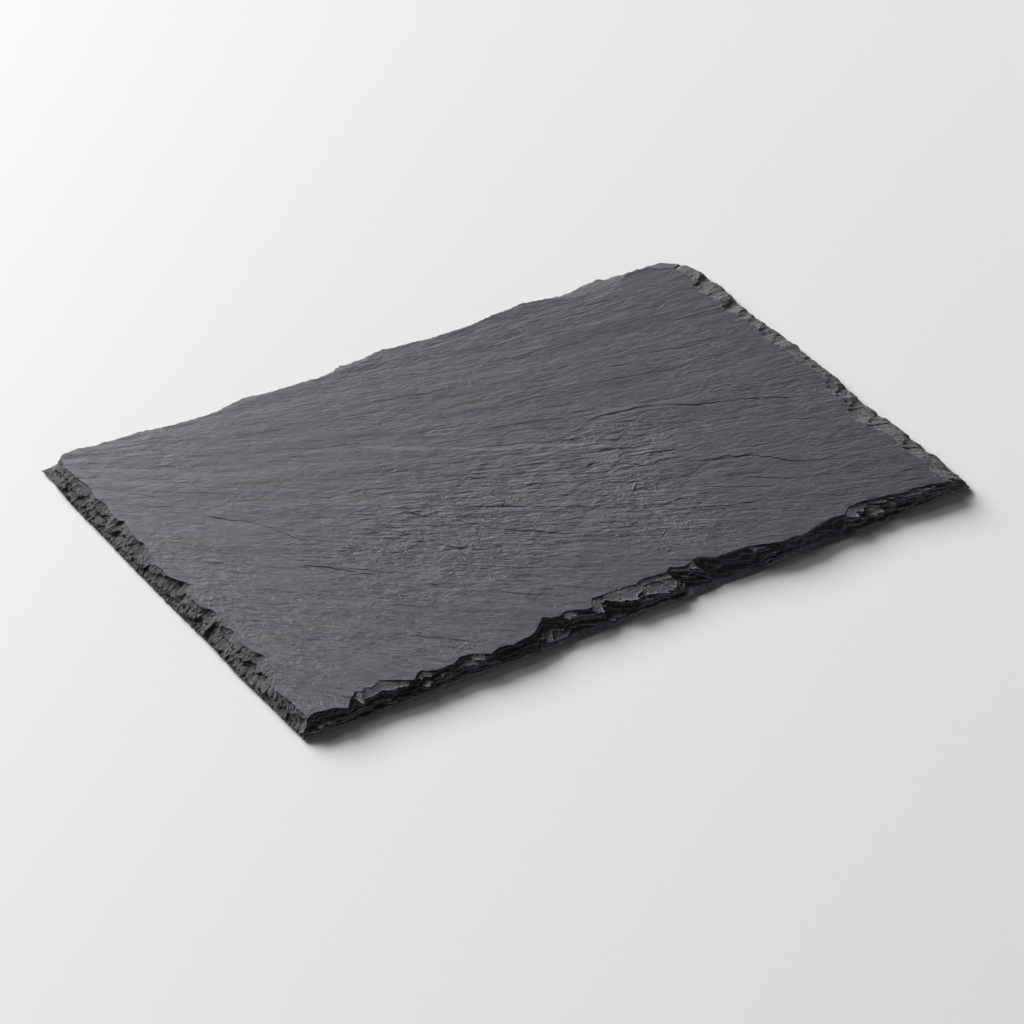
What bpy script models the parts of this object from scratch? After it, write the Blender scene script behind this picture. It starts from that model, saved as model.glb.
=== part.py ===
"""Slate serving slab: one riven sheet of slate with hand-chipped edges.

Metres, +Z up.  The slab lies on its flat underside at z = 0, its long sides
run along X, and the origin is the middle of its box at table height.
Lists along an edge are in millimetres, measured on the stone.
"""
import math

import bmesh
import bpy
import numpy as np
from mathutils import Vector
from mathutils.geometry import delaunay_2d_cdt

# Driving dimensions, in millimetres.
HALF_LENGTH = 150.0        # corner to corner along X, halved
HALF_WIDTH = 101.5         # corner to corner along Y, halved
THICKNESS = 6.0            # underside to the top face
BOX_CENTRE = (1.15, -0.3)  # the right edge bows out most, so the box is off centre
COLUMN_SPACING = 4.2       # longest step between two cross-sections of the edge
TOP_STEP_ACROSS = 4.5      # spacing across the grain of the points that shape the top
TOP_STEP_ALONG = 11.0      # and along it
TOP_MARGIN = 2.5           # how near to the rim such a point may lie
UNDERSIDE_MARGIN = 9.0     # width of the strip that lifts off the table
BOTTOM_UNDERCUT = 0.5      # how far the lowest edge tucks in under the widest line
RISER_RUN = 0.3            # how far a broken step leans over its own height
LEDGE_DROP = 0.75          # height of the step at the middle ledge
RIM_DROP = 0.8             # height of the first step below the top face
SMOOTH_DROP = 0.12         # the same in a smooth shell-shaped flake scar
MM = 0.001

# Grain of the stone: curved lines that fan out from a point off one corner.
FAN_CENTRE = (-244.0, 222.0)
FAN_TWIST = math.radians(17.4)
FAN_RADIUS = 300.0
GRAIN_ANGLE = math.radians(-27.0)   # its mean direction on the top face
# Broad waves of the top face: wavelength across the grain, along it, height.
TOP_WAVES = ((46.0, 260.0, 0.14), (27.0, 170.0, 0.11), (14.0, 120.0, 0.10))

SLATE_COLOUR = (0.105, 0.103, 0.118, 1.0)
SLATE_ROUGHNESS = 0.55

# Corners of the widest line and of the rim, in order round the slab.
OUTLINE_CORNERS = ((-150.0, -101.5), (150.0, -101.5), (148.0, 96.8), (-150.0, 102.0))
RIM_CORNERS = ((-145.3, -96.8), (141.2, -99.6), (139.5, 89.0), (-141.3, 101.0))
# Each corner's own cross-section, as the wall top's and the ledge's share of the
# way from outline to rim and their heights, and how far along the sides it reaches.
CORNER_SECTIONS = ((0.30, 3.0, 0.80, 4.9), (0.15, 2.4, 0.62, 4.4),
                   (0.28, 2.4, 0.66, 4.2), (0.50, 1.4, 0.78, 2.8))
CORNER_REACH = 6.0

# Each side lists (distance along, amount out from the nominal line) for the
# outline, (along, inset) for the rim where the top face breaks off, and
# (along, inset, height) for the middle ledge and for the top of the rough
# lower wall.  "smooth" spans are flake scars with no step below the rim.
FRONT = {
    "outline": ((-150, 0.0), (-144, 1.0), (-132, 1.2), (-104, 1.3), (-84, 0.8), (-62, 1.4),
                (-40, 1.7), (-16, 2.2), (1, 1.0), (22, 2.3), (33, 1.2), (45, 2.0),
                (68, 1.5), (90, 1.9), (104, 1.8), (131, 0.4), (150, 0.0)),
    "rim": ((-141, 5.5), (-135, 4.4), (-130, 1.8), (-127, 5.5), (-123, 8.5), (-121, 7.0),
            (-118.5, 8.7), (-117, 7.3), (-112, 9.5), (-101.5, 3.0), (-98, 6.0), (-96, 7.0),
            (-94, 5.2), (-90, 3.8), (-84.5, 3.8), (-79, 6.4), (-75, 5.3), (-69, 1.8),
            (-64, 3.6), (-59.5, 2.4), (-51, 3.2), (-47, 5.5), (-41, 10.5), (-38.5, 8.5),
            (-35, 8.0), (-31.5, 9.3), (-24, 6.0), (-22, 6.2), (-19, 11.0), (-8, 10.5),
            (0, 10.0), (4, 11.2), (14, 10.0), (17, 12.0), (22, 9.2), (29, 12.0), (35, 8.2),
            (49, 7.5), (56, 5.2), (62.5, 2.7), (68, 3.6), (72, 2.5), (79, 4.5), (87, 6.0),
            (93.5, 5.0), (97, 8.3), (104, 9.0), (112, 7.3), (122, 4.8), (126, 5.3), (137, 3.0)),
    "ledge": ((-145, 3.2, 4.9), (-138, 3.2, 4.9), (-131, 1.5, 4.6), (-125, 0.9, 3.5),
              (-123, 2.1, 4.8), (-118, 3.7, 5.0), (-107, 2.8, 5.0), (-101, 2.8, 5.2),
              (-97, 6.0, 5.2), (-91, 3.4, 5.2), (-84.5, 3.0, 5.1), (-79, 0.8, 3.8),
              (-74, 0.9, 4.7), (-68.5, 1.4, 5.1), (-60, 2.0, 5.2), (-51, 2.7, 5.2),
              (-41, 9.6, 5.3), (-36, 7.6, 5.2), (-30, 5.6, 5.0), (-24, 4.4, 4.9),
              (-19.5, 0.9, 4.4), (-17.5, 8.7, 5.2), (-14, 8.1, 5.1), (-10.5, 4.3, 4.9),
              (-7, 1.1, 4.4), (4, 1.4, 4.2), (14, 2.4, 4.2), (16, 9.8, 5.2), (19, 9.4, 5.2),
              (23, 7.0, 5.0), (28, 4.8, 4.8), (38, 6.4, 5.2), (44, 4.6, 4.9), (49, 1.0, 4.0),
              (60, 1.4, 4.6), (65, 2.0, 4.8), (74, 1.9, 4.7), (84, 3.2, 4.8), (88, 1.2, 4.0),
              (94, 3.6, 5.0), (104, 5.0, 5.0), (114, 3.4, 4.9), (126, 2.6, 4.8), (140, 1.6, 4.6)),
    "wall": ((-145, 1.4, 3.0), (-135, 1.2, 3.0), (-130, 1.0, 3.4), (-125, 0.6, 2.2),
             (-119, 0.5, 1.4), (-110, 0.9, 3.0), (-102, 1.8, 4.1), (-90, 2.0, 4.0),
             (-84, 1.6, 3.8), (-79, 0.5, 2.2), (-73, 0.7, 3.4), (-60, 1.2, 4.1),
             (-50, 1.8, 4.2), (-43, 1.2, 3.2), (-37, 0.8, 2.4), (-30, 0.5, 1.3),
             (-18, 0.6, 2.0), (-10, 0.9, 3.0), (3, 0.6, 2.2), (15, 1.5, 3.3), (20, 0.6, 1.4),
             (45, 0.5, 1.3), (58, 0.9, 3.2), (64, 0.9, 2.0), (67, 0.5, 1.3), (85, 0.5, 1.3),
             (92, 1.8, 3.9), (101, 2.2, 3.9), (110, 0.8, 2.2), (120, 0.6, 1.8),
             (140, 0.8, 2.4)),
    "smooth": ((-145, -131), (-112, -101), (-45, -38), (26, 48), (64, 88)),
}
RIGHT = {
    "outline": ((-101.5, 0.0), (-89, 0.5), (-79.4, 1.7), (-74.4, 0.3), (-67.7, 1.6),
                (-63, 0.8), (-56.8, 1.4), (-45.6, 1.7), (-43.7, 0.5), (-31.4, 0.2),
                (-17, 1.4), (-11.3, 2.4), (-6.5, 1.6), (3, 2.5), (12.4, 1.3), (17, 3.0),
                (22.6, 1.5), (26.3, 2.8), (36.7, 1.3), (49.5, 1.2), (58.6, 1.8),
                (73.7, 3.3), (81, 2.0), (86, 2.7), (90, 1.6), (94, 0.0), (96.8, -2.0)),
    "rim": ((-96, 9.6), (-90, 11.0), (-84.6, 9.0), (-79, 10.0), (-72.5, 10.6), (-67, 10.0),
            (-59, 9.9), (-53, 12.0), (-45, 15.0), (-36, 12.5), (-29.5, 8.7), (-24.5, 11.6),
            (-15, 8.0), (-10, 7.7), (-3, 6.7), (1.5, 8.0), (8, 7.8), (13, 8.2), (18, 9.0),
            (22.5, 10.4), (30, 8.0), (36, 8.4), (42, 9.0), (47, 9.5), (50.5, 12.0),
            (57.5, 8.8), (63, 11.6), (68, 12.0), (74, 10.8), (78, 10.0), (83, 8.4)),
    "ledge": ((-98, 5.2, 3.9), (-60, 5.2, 3.8), (-45, 7.6, 3.9), (-25, 5.6, 3.8),
              (0, 4.2, 3.8), (50, 5.4, 3.8), (66, 6.2, 3.9), (86, 4.6, 3.9)),
    "wall": ((-98, 0.7, 1.3), (0, 0.7, 1.2), (86, 0.9, 1.5)),
    "smooth": ((-99, 92),),
}
FAR = {
    "outline": ((-150, 0.5), (-134, 1.2), (-118, 1.0), (-96, 0.6), (-76, 0.2), (-60, 1.0),
                (-44, 0.6), (-26, 0.2), (-8, 1.3), (14, 0.9), (34, 0.4), (50, 0.8),
                (70, 1.6), (90, 0.0), (106, 1.3), (124, 0.3), (136, 0.2), (141, -1.0),
                (145, -2.8), (148, -4.7)),
    "rim": ((-134, 0.0), (-130, 1.2), (-127, 1.8), (-124, 1.2), (-119, 2.2), (-106, 2.7),
            (-100, 4.2), (-90, 5.5), (-80, 6.1), (-76, 6.8), (-66, 6.3), (-58, 6.2),
            (-52, 4.6), (-46, 5.5), (-32, 6.4), (-27, 7.2), (-22, 6.6), (-14, 6.2),
            (-6, 5.6), (0, 2.6), (4, 1.8), (9, 3.2), (16, 3.8), (25, 5.2), (42, 6.1),
            (50, 5.0), (58, 3.9), (65, 3.6), (70, 2.7), (75, 3.9), (82, 5.2), (88, 9.2),
            (95, 10.2), (105, 9.8), (115, 8.8), (121, 6.4), (130, 6.4)),
    "ledge": ((-138, 0.0, 4.7), (-127, 1.3, 4.8), (-119, 1.3, 4.9), (-106, 1.9, 4.9),
              (-98, 3.3, 4.9), (-90, 4.3, 4.9), (-77, 5.5, 4.9), (-73, 4.0, 4.9),
              (-66, 2.2, 4.9), (-58, 1.5, 4.9), (-53, 2.6, 4.9), (-48, 4.1, 4.9),
              (-34, 4.2, 4.9), (-27, 5.7, 4.9), (-22, 4.5, 4.9), (-16, 1.9, 4.9),
              (-8, 2.2, 4.9), (1, 1.2, 4.9), (5, 0.7, 4.9), (9, 1.9, 4.9), (20, 2.9, 4.9),
              (28, 4.2, 4.9), (46, 4.3, 4.9), (52, 3.1, 4.9), (60, 2.5, 4.9), (70, 1.4, 4.9),
              (76, 2.6, 4.9), (86, 3.9, 4.9), (91, 5.2, 4.9), (97, 4.1, 4.9), (102, 2.3, 4.9),
              (108, 2.5, 4.9), (118, 4.1, 4.9), (124, 4.8, 4.8), (134, 4.4, 4.7)),
    "wall": ((-138, 0.0, 2.8), (-100, 0.6, 3.0), (-90, 1.3, 3.0), (-77, 2.5, 3.0),
             (-60, 0.0, 3.0), (-46, 1.4, 3.0), (-27, 2.8, 2.9), (-14, 0.0, 3.0),
             (4, -0.2, 3.0), (28, 1.5, 3.0), (46, 1.6, 3.0), (68, 0.0, 3.0), (90, 2.6, 2.9),
             (104, 0.4, 3.0), (122, 2.1, 2.9), (136, 2.2, 2.6)),
    "smooth": ((-70, -55), (-22, -3), (84, 138)),
}
LEFT = {
    "outline": ((-101.5, 0.0), (-87, 0.2), (-54, 0.9), (-34, 0.3), (1, 0.8), (20, 1.0),
                (50, 0.7), (79, 0.7), (90, -0.1), (102, 0.0)),
    "rim": ((-86, 4.0), (-77, 3.0), (-74, 3.5), (-69, 6.5), (-65, 7.7), (-61, 8.4),
            (-57, 10.0), (-52, 8.0), (-46, 6.4), (-41, 7.0), (-37, 8.2), (-31, 6.0),
            (-25, 8.2), (-21, 8.0), (-17, 5.0), (-11, 4.6), (-6, 6.0), (-2.4, 8.8),
            (1.5, 7.0), (5, 5.2), (8, 3.9), (12, 4.4), (17, 3.6), (21, 5.2), (26, 6.0),
            (30, 7.0), (33, 6.0), (39, 5.8), (44, 7.0), (48, 7.8), (49.5, 5.8), (53, 6.0),
            (58, 6.6), (62, 7.4), (67, 5.5), (70, 6.1), (75, 7.5), (79, 6.8), (84, 6.1),
            (92, 5.7), (97, 6.7)),
    "ledge": ((-96, 3.2, 4.9), (-85, 3.2, 5.0), (-76, 2.6, 4.8), (-72, 3.0, 5.0),
              (-64, 4.4, 5.0), (-60, 6.8, 5.1), (-56, 9.4, 5.3), (-54, 4.8, 4.9),
              (-50, 3.7, 4.9), (-38, 4.8, 5.0), (-24, 6.4, 5.1), (-18, 4.2, 5.0),
              (-14.6, 2.0, 4.6), (-7, 4.4, 5.0), (-2, 7.6, 5.3), (9, 3.3, 4.9),
              (15, 2.5, 4.8), (25, 4.4, 5.0), (30.6, 6.6, 5.2), (40, 5.0, 5.0),
              (45, 3.8, 4.8), (60, 6.0, 5.1), (67.5, 3.8, 4.9), (71, 5.0, 5.0),
              (76, 3.9, 4.9), (85, 2.6, 4.7), (92, 4.0, 4.5), (98, 5.4, 4.0)),
    "wall": ((-96, 1.3, 3.2), (-86, 2.4, 3.9), (-75, 2.0, 3.8), (-73, 1.2, 3.2),
             (-65, 0.8, 3.0), (-56, 1.4, 3.4), (-54.8, 0.8, 3.0), (-39, 1.4, 3.6),
             (-37, 0.7, 2.8), (-15, 1.5, 3.4), (-2, 3.6, 4.3), (9, 2.4, 3.9),
             (14.6, 1.4, 3.4), (24.5, 0.8, 3.0), (33, 2.4, 3.9), (38, 2.6, 3.9),
             (40, 0.9, 3.0), (58, 1.5, 3.5), (65, 2.6, 4.0), (69, 1.2, 3.3), (79, 1.8, 3.6),
             (88, 0.8, 2.6), (94, 2.0, 2.0), (99, 3.6, 1.6)),
    "smooth": ((90, 101),),
}

# Each side with the corner it starts from, its direction and its outward way.
SIDES = (
    (FRONT, 0, (1.0, 0.0), (0.0, -1.0), HALF_WIDTH),
    (RIGHT, 1, (0.0, 1.0), (1.0, 0.0), HALF_LENGTH),
    (FAR, 2, (-1.0, 0.0), (0.0, 1.0), HALF_WIDTH),
    (LEFT, 3, (0.0, -1.0), (-1.0, 0.0), HALF_LENGTH),
)

# Shell-shaped chips along the right side: where each chip's raised edge ends
# on the outline, and how far it leans along the side for each mm of inset.
CHIP_EDGES = (-92.5, -83.0, -74.0, -60.0, -38.5, -25.5, -15.5, -8.0, 8.6, 21.8,
              28.9, 38.8, 46.7, 52.9, 61.9, 74.0, 83.5, 92.0)
CHIP_LEAN = 0.85
CHIP_DEPTH = 1.0


def column(points, index):
    """One column of a list of tuples as an array."""
    return np.array([point[index] for point in points], dtype=float)


def reading(points, along, index=1):
    """Value of a list at each distance along, on straight lines between its points."""
    return np.interp(along, column(points, 0), column(points, index))


def fan_coordinates(x, y):
    """Distance across and along the curved grain of a point on the slab."""
    dx = x - FAN_CENTRE[0]
    dy = y - FAN_CENTRE[1]
    log_radius = np.log(np.hypot(dx, dy) / FAN_RADIUS)
    angle = np.arctan2(dy, dx)
    across = FAN_RADIUS * (math.cos(FAN_TWIST) * angle - math.sin(FAN_TWIST) * log_radius)
    along = FAN_RADIUS * (math.cos(FAN_TWIST) * log_radius + math.sin(FAN_TWIST) * angle)
    return across, along


def top_height(x, y):
    """Height of the riven top face: broad waves that follow the grain."""
    across, along = fan_coordinates(x, y)
    height = np.full_like(np.asarray(x, dtype=float), THICKNESS)
    for order, (width, length, rise) in enumerate(TOP_WAVES):
        bend = 1.3 * np.sin(math.tau * along / length + 1.7 * order)
        height += rise * np.sin(math.tau * across / width + bend + 2.1 * order)
    return height


def side_columns(side):
    """Positions of the cross-sections of one side, as parts of its length.

    There is one at every point of the rim list, and the gaps between them
    are filled so that no two are further apart than COLUMN_SPACING.
    """
    lists, corner, direction, _, _ = side
    axis = 0 if direction[0] else 1
    start = RIM_CORNERS[corner][axis]
    end = RIM_CORNERS[(corner + 1) % 4][axis]
    low, high = min(start, end), max(start, end)
    marks = [low] + [point[0] for point in lists["rim"] if low < point[0] < high] + [high]
    stops = [low]
    for first, second in zip(marks[:-1], marks[1:]):
        parts = max(1, math.ceil((second - first) / COLUMN_SPACING))
        stops += [first + (second - first) * k / parts for k in range(1, parts + 1)]
    parts_of_length = (np.array(stops) - start) / (end - start)
    return np.sort(parts_of_length)[:-1]


def side_sections(side):
    """Plan and height of every cross-section of one side.

    Returns the outline and rim points and, for the wall top and the ledge,
    the share of the way from outline to rim and the height.
    """
    lists, corner, direction, outward, half = side
    axis = 0 if direction[0] else 1
    share = side_columns(side)
    nxt = (corner + 1) % 4
    outline_along = OUTLINE_CORNERS[corner][axis] + share * (
        OUTLINE_CORNERS[nxt][axis] - OUTLINE_CORNERS[corner][axis])
    rim_along = RIM_CORNERS[corner][axis] + share * (
        RIM_CORNERS[nxt][axis] - RIM_CORNERS[corner][axis])

    start_inset = half - abs(RIM_CORNERS[corner][1 - axis])
    end_inset = half - abs(RIM_CORNERS[nxt][1 - axis])
    ends = sorted(((RIM_CORNERS[corner][axis], start_inset), (RIM_CORNERS[nxt][axis], end_inset)))
    rim_points = (ends[0],) + tuple(lists["rim"]) + (ends[1],)
    rim_inset = reading(rim_points, rim_along)
    outline_out = reading(lists["outline"], outline_along)

    sign = outward[1 - axis]
    outline = np.zeros((len(share), 2))
    rim = np.zeros((len(share), 2))
    outline[:, axis] = outline_along
    outline[:, 1 - axis] = sign * (half + outline_out)
    rim[:, axis] = rim_along
    rim[:, 1 - axis] = sign * (half - rim_inset)

    depth = rim_inset + outline_out
    sections = {"outline": outline, "rim": rim}
    for name, nearness in (("wall", 0.1), ("ledge", 0.6)):
        along = outline_along + nearness * (rim_along - outline_along)
        inset = reading(lists[name], along) + outline_out
        limit = 0.3 if name == "wall" else 0.9
        sections[name] = np.clip(inset / depth, 0.04, limit)
        sections[name + "_height"] = reading(lists[name], along, 2)
    smooth = np.zeros(len(share))
    for first, last in lists["smooth"]:
        smooth = np.where((rim_along > first) & (rim_along < last), 1.0, smooth)
    sections["rim_drop"] = RIM_DROP + (SMOOTH_DROP - RIM_DROP) * smooth
    sections["ledge_drop"] = LEDGE_DROP + (SMOOTH_DROP - LEDGE_DROP) * smooth
    sections["depth"] = depth
    sections["along"] = rim_along
    return sections


def chip_relief(x, y):
    """How much the shell-shaped chips take off the sloping right side.

    Between two chip edges the surface falls slowly away, and it steps back
    up at the next edge, which leans along the side as it climbs inwards.
    """
    inset = np.clip(HALF_LENGTH + 2.0 - x, 0.0, 30.0)
    foot = y + CHIP_LEAN * inset
    edges = np.array(CHIP_EDGES)
    after = np.clip(np.searchsorted(edges, foot), 1, len(edges) - 1)
    gap = edges[after] - edges[after - 1]
    part = np.clip((foot - edges[after - 1]) / gap, 0.0, 1.0)
    size = np.clip(gap / 12.0, 0.4, 1.2)
    return CHIP_DEPTH * size * np.sin(math.pi * part ** 1.6) * 0.6 + CHIP_DEPTH * size * part * 0.5


def blend_corners(sections):
    """Turns the cross-section near each corner gradually into the corner's own."""
    for corner, own in zip(OUTLINE_CORNERS, CORNER_SECTIONS):
        distance = np.hypot(*(sections["outline"] - corner).T)
        nearness = np.exp(-(distance / CORNER_REACH) ** 2)
        for name, value in zip(("wall", "wall_height", "ledge", "ledge_height"), own):
            sections[name] += (value - sections[name]) * nearness


def edge_rows():
    """Rows of points round the slab, from the underside up to the rim."""
    parts = [side_sections(side) for side in SIDES]
    joined = {name: np.concatenate([part[name] for part in parts]) for name in parts[0]}
    blend_corners(joined)
    outline = joined["outline"]
    rim = joined["rim"]
    way = rim - outline
    run = RISER_RUN / joined["depth"]
    turn = np.arange(len(outline)) / len(outline) * math.tau
    lift = 0.7 + 0.25 * np.sin(3.0 * turn + 0.9) + 0.15 * np.sin(11.0 * turn)

    middle = 1.0 - UNDERSIDE_MARGIN / np.array((HALF_LENGTH, HALF_WIDTH))
    tuck = 1.0 - BOTTOM_UNDERCUT / np.array((HALF_LENGTH, HALF_WIDTH))
    wall_height = joined["wall_height"]
    ledge_height = joined["ledge_height"]
    ledge_foot = np.maximum(ledge_height - joined["ledge_drop"], wall_height + 0.15)
    rim_height = top_height(rim[:, 0], rim[:, 1])
    rim_foot = np.maximum(rim_height - joined["rim_drop"], ledge_height + 0.12)

    def at(share, height):
        plan = outline + share[:, None] * way
        return np.column_stack((plan, height))

    ledge = joined["ledge"]
    rows = [
        np.column_stack((outline * middle, np.zeros(len(outline)))),
        np.column_stack((outline * tuck, lift)),
        np.column_stack((outline, lift + 0.45)),
        at(joined["wall"], wall_height),
        at(np.maximum(ledge - run, joined["wall"] + 0.02), ledge_foot),
        at(ledge, ledge_height),
        at(1.0 - np.minimum(run, 0.08), rim_foot),
        np.column_stack((rim, rim_height)),
    ]
    on_right = (outline[:, 0] > HALF_LENGTH - 3.0) & (np.abs(outline[:, 1]) < 94.0)
    for index in (3, 4, 5, 6):
        row = rows[index]
        cut = chip_relief(row[:, 0], row[:, 1]) * np.clip((row[:, 2] - 0.9) / 2.0, 0.0, 1.0)
        row[:, 2] -= np.where(on_right, cut, 0.0)
        row[:, 2] = np.maximum(row[:, 2], rows[index - 1][:, 2] + 0.08)
    return rows


def inside_rim(points, rim):
    """Points that lie inside the rim and at least TOP_MARGIN away from it."""
    start = rim[:, :2]
    step = np.roll(start, -1, axis=0) - start
    kept = []
    for x, y in points:
        offset = np.array((x, y)) - start
        share = np.clip((offset * step).sum(1) / (step * step).sum(1), 0.0, 1.0)
        distance = np.hypot(*(offset - share[:, None] * step).T).min()
        crossing = (start[:, 1] > y) != (start[:, 1] + step[:, 1] > y)
        height = np.where(crossing, step[:, 1], 1.0)
        hits = crossing & (x < start[:, 0] + (y - start[:, 1]) / height * step[:, 0])
        if hits.sum() % 2 and distance > TOP_MARGIN:
            kept.append((x, y))
    return kept


def top_face_points(rim):
    """Points of the top face in rows along the mean grain, so that its ridges hold.

    Every other row is moved by half a step.
    """
    reach = math.hypot(HALF_LENGTH, HALF_WIDTH)
    cosine, sine = math.cos(GRAIN_ANGLE), math.sin(GRAIN_ANGLE)
    rows = int(reach / TOP_STEP_ACROSS)
    steps = int(reach / TOP_STEP_ALONG)
    points = []
    for row in range(-rows, rows + 1):
        across = row * TOP_STEP_ACROSS
        for step in range(-steps, steps + 1):
            along = (step + 0.5 * (row % 2)) * TOP_STEP_ALONG
            points.append((along * cosine - across * sine, along * sine + across * cosine))
    return inside_rim(points, rim)


def slate_material():
    material = bpy.data.materials.new("slate")
    material.use_nodes = True
    shader = material.node_tree.nodes["Principled BSDF"]
    shader.inputs["Base Color"].default_value = SLATE_COLOUR
    shader.inputs["Roughness"].default_value = SLATE_ROUGHNESS
    shader.inputs["Metallic"].default_value = 0.0
    return material


def slate_slab():
    """The whole slab as one closed body: edge strips, top face and underside."""
    rows = edge_rows()
    shift = np.array((BOX_CENTRE[0], BOX_CENTRE[1], 0.0))
    mesh = bmesh.new()
    rings = [[mesh.verts.new((point - shift) * MM) for point in row] for row in rows]
    count = len(rings[0])
    for lower, upper in zip(rings[:-1], rings[1:]):
        for k in range(count):
            after = (k + 1) % count
            mesh.faces.new((lower[k], lower[after], upper[after], upper[k]))
    mesh.faces.new(tuple(reversed(rings[0])))

    rim = rows[-1]
    inner = top_face_points(rim)
    plan = [Vector(point[:2]) for point in rim] + [Vector(point) for point in inner]
    loop = [list(range(count))]
    _, _, faces, _, _, _ = delaunay_2d_cdt(plan, [], loop, 1, 1e-7)
    heights = top_height(column(inner, 0), column(inner, 1))
    corners = list(rings[-1])
    for (x, y), height in zip(inner, heights):
        corners.append(mesh.verts.new((np.array((x, y, height)) - shift) * MM))
    for face in faces:
        mesh.faces.new([corners[index] for index in face])

    bmesh.ops.triangulate(mesh, faces=mesh.faces[:])
    bmesh.ops.recalc_face_normals(mesh, faces=mesh.faces[:])
    data = bpy.data.meshes.new("slate_slab")
    mesh.to_mesh(data)
    mesh.free()
    slab = bpy.data.objects.new("slate_slab", data)
    bpy.context.scene.collection.objects.link(slab)
    slab.data.materials.append(slate_material())
    return slab


for thing in list(bpy.data.objects):
    bpy.data.objects.remove(thing, do_unlink=True)
slate_slab()
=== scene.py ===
import math

import bpy
import numpy as np
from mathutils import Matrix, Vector
from mathutils.geometry import delaunay_2d_cdt


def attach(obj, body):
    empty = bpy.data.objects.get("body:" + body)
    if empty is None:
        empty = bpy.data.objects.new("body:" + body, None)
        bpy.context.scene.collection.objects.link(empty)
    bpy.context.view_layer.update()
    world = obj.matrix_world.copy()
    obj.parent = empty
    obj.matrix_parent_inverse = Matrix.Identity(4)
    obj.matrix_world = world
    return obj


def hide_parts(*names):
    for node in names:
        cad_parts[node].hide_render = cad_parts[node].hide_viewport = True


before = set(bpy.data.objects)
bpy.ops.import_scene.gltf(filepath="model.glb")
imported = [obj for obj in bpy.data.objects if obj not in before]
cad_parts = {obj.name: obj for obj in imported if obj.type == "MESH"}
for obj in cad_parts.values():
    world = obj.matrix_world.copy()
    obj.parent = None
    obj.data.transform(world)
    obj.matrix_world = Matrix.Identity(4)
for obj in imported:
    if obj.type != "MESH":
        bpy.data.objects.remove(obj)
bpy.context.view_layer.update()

# lengths along and across the stone are in millimetres until the mesh is made
mm = 0.001

slabSize = {
    "halfLength": 150.0,
    "halfWidth": 101.5,
    "thickness": 6.0,
    "boxCentre": (1.15, -0.3),         # the right edge bows out most
    "columns": (600, 400, 340, 430),   # cross-sections on the front, right, far and left side
    "undersideMargin": 9.0,            # strip that lifts off the table
    "tuck": 0.5,                       # lowest edge under the widest line
    "lift": 0.55,                      # height of the lowest edge
    "topSteps": (0.95, 2.7),           # spacing of the top's points across and along the grain
    "undersideStep": 4.0,
    "undersideRelief": 0.16,
}

# curved cleavage grain that fans out from a point off the far left corner
grain = {
    "centre": (-244.0, 222.0),
    "twist": math.radians(17.4),
    "radius": 300.0,
    "waves": ((46.0, 260.0, 0.14), (27.0, 170.0, 0.11), (14.0, 120.0, 0.10)),   # width, length, rise
    "waveBend": 1.3,
    "waveShare": 0.5,                  # how much of the waves shows in the finished skin
    "mapUnit": 100.0,                  # millimetres to one unit of the grain map
}

# corners of the widest line and of the rim, round the slab from the near left one
outlineCorners = ((-150.0, -101.5), (150.0, -101.5), (148.0, 96.8), (-150.0, 102.0))
rimCorners = ((-145.3, -96.8), (141.2, -99.6), (139.5, 89.0), (-141.3, 101.0))
# each corner's wall share and height, ledge share and height, and how far they reach
cornerSections = ((0.30, 3.0, 0.80, 4.9), (0.15, 2.4, 0.62, 4.4),
                  (0.28, 2.4, 0.66, 4.2), (0.50, 1.4, 0.78, 2.8))
cornerReach = 6.0

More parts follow.
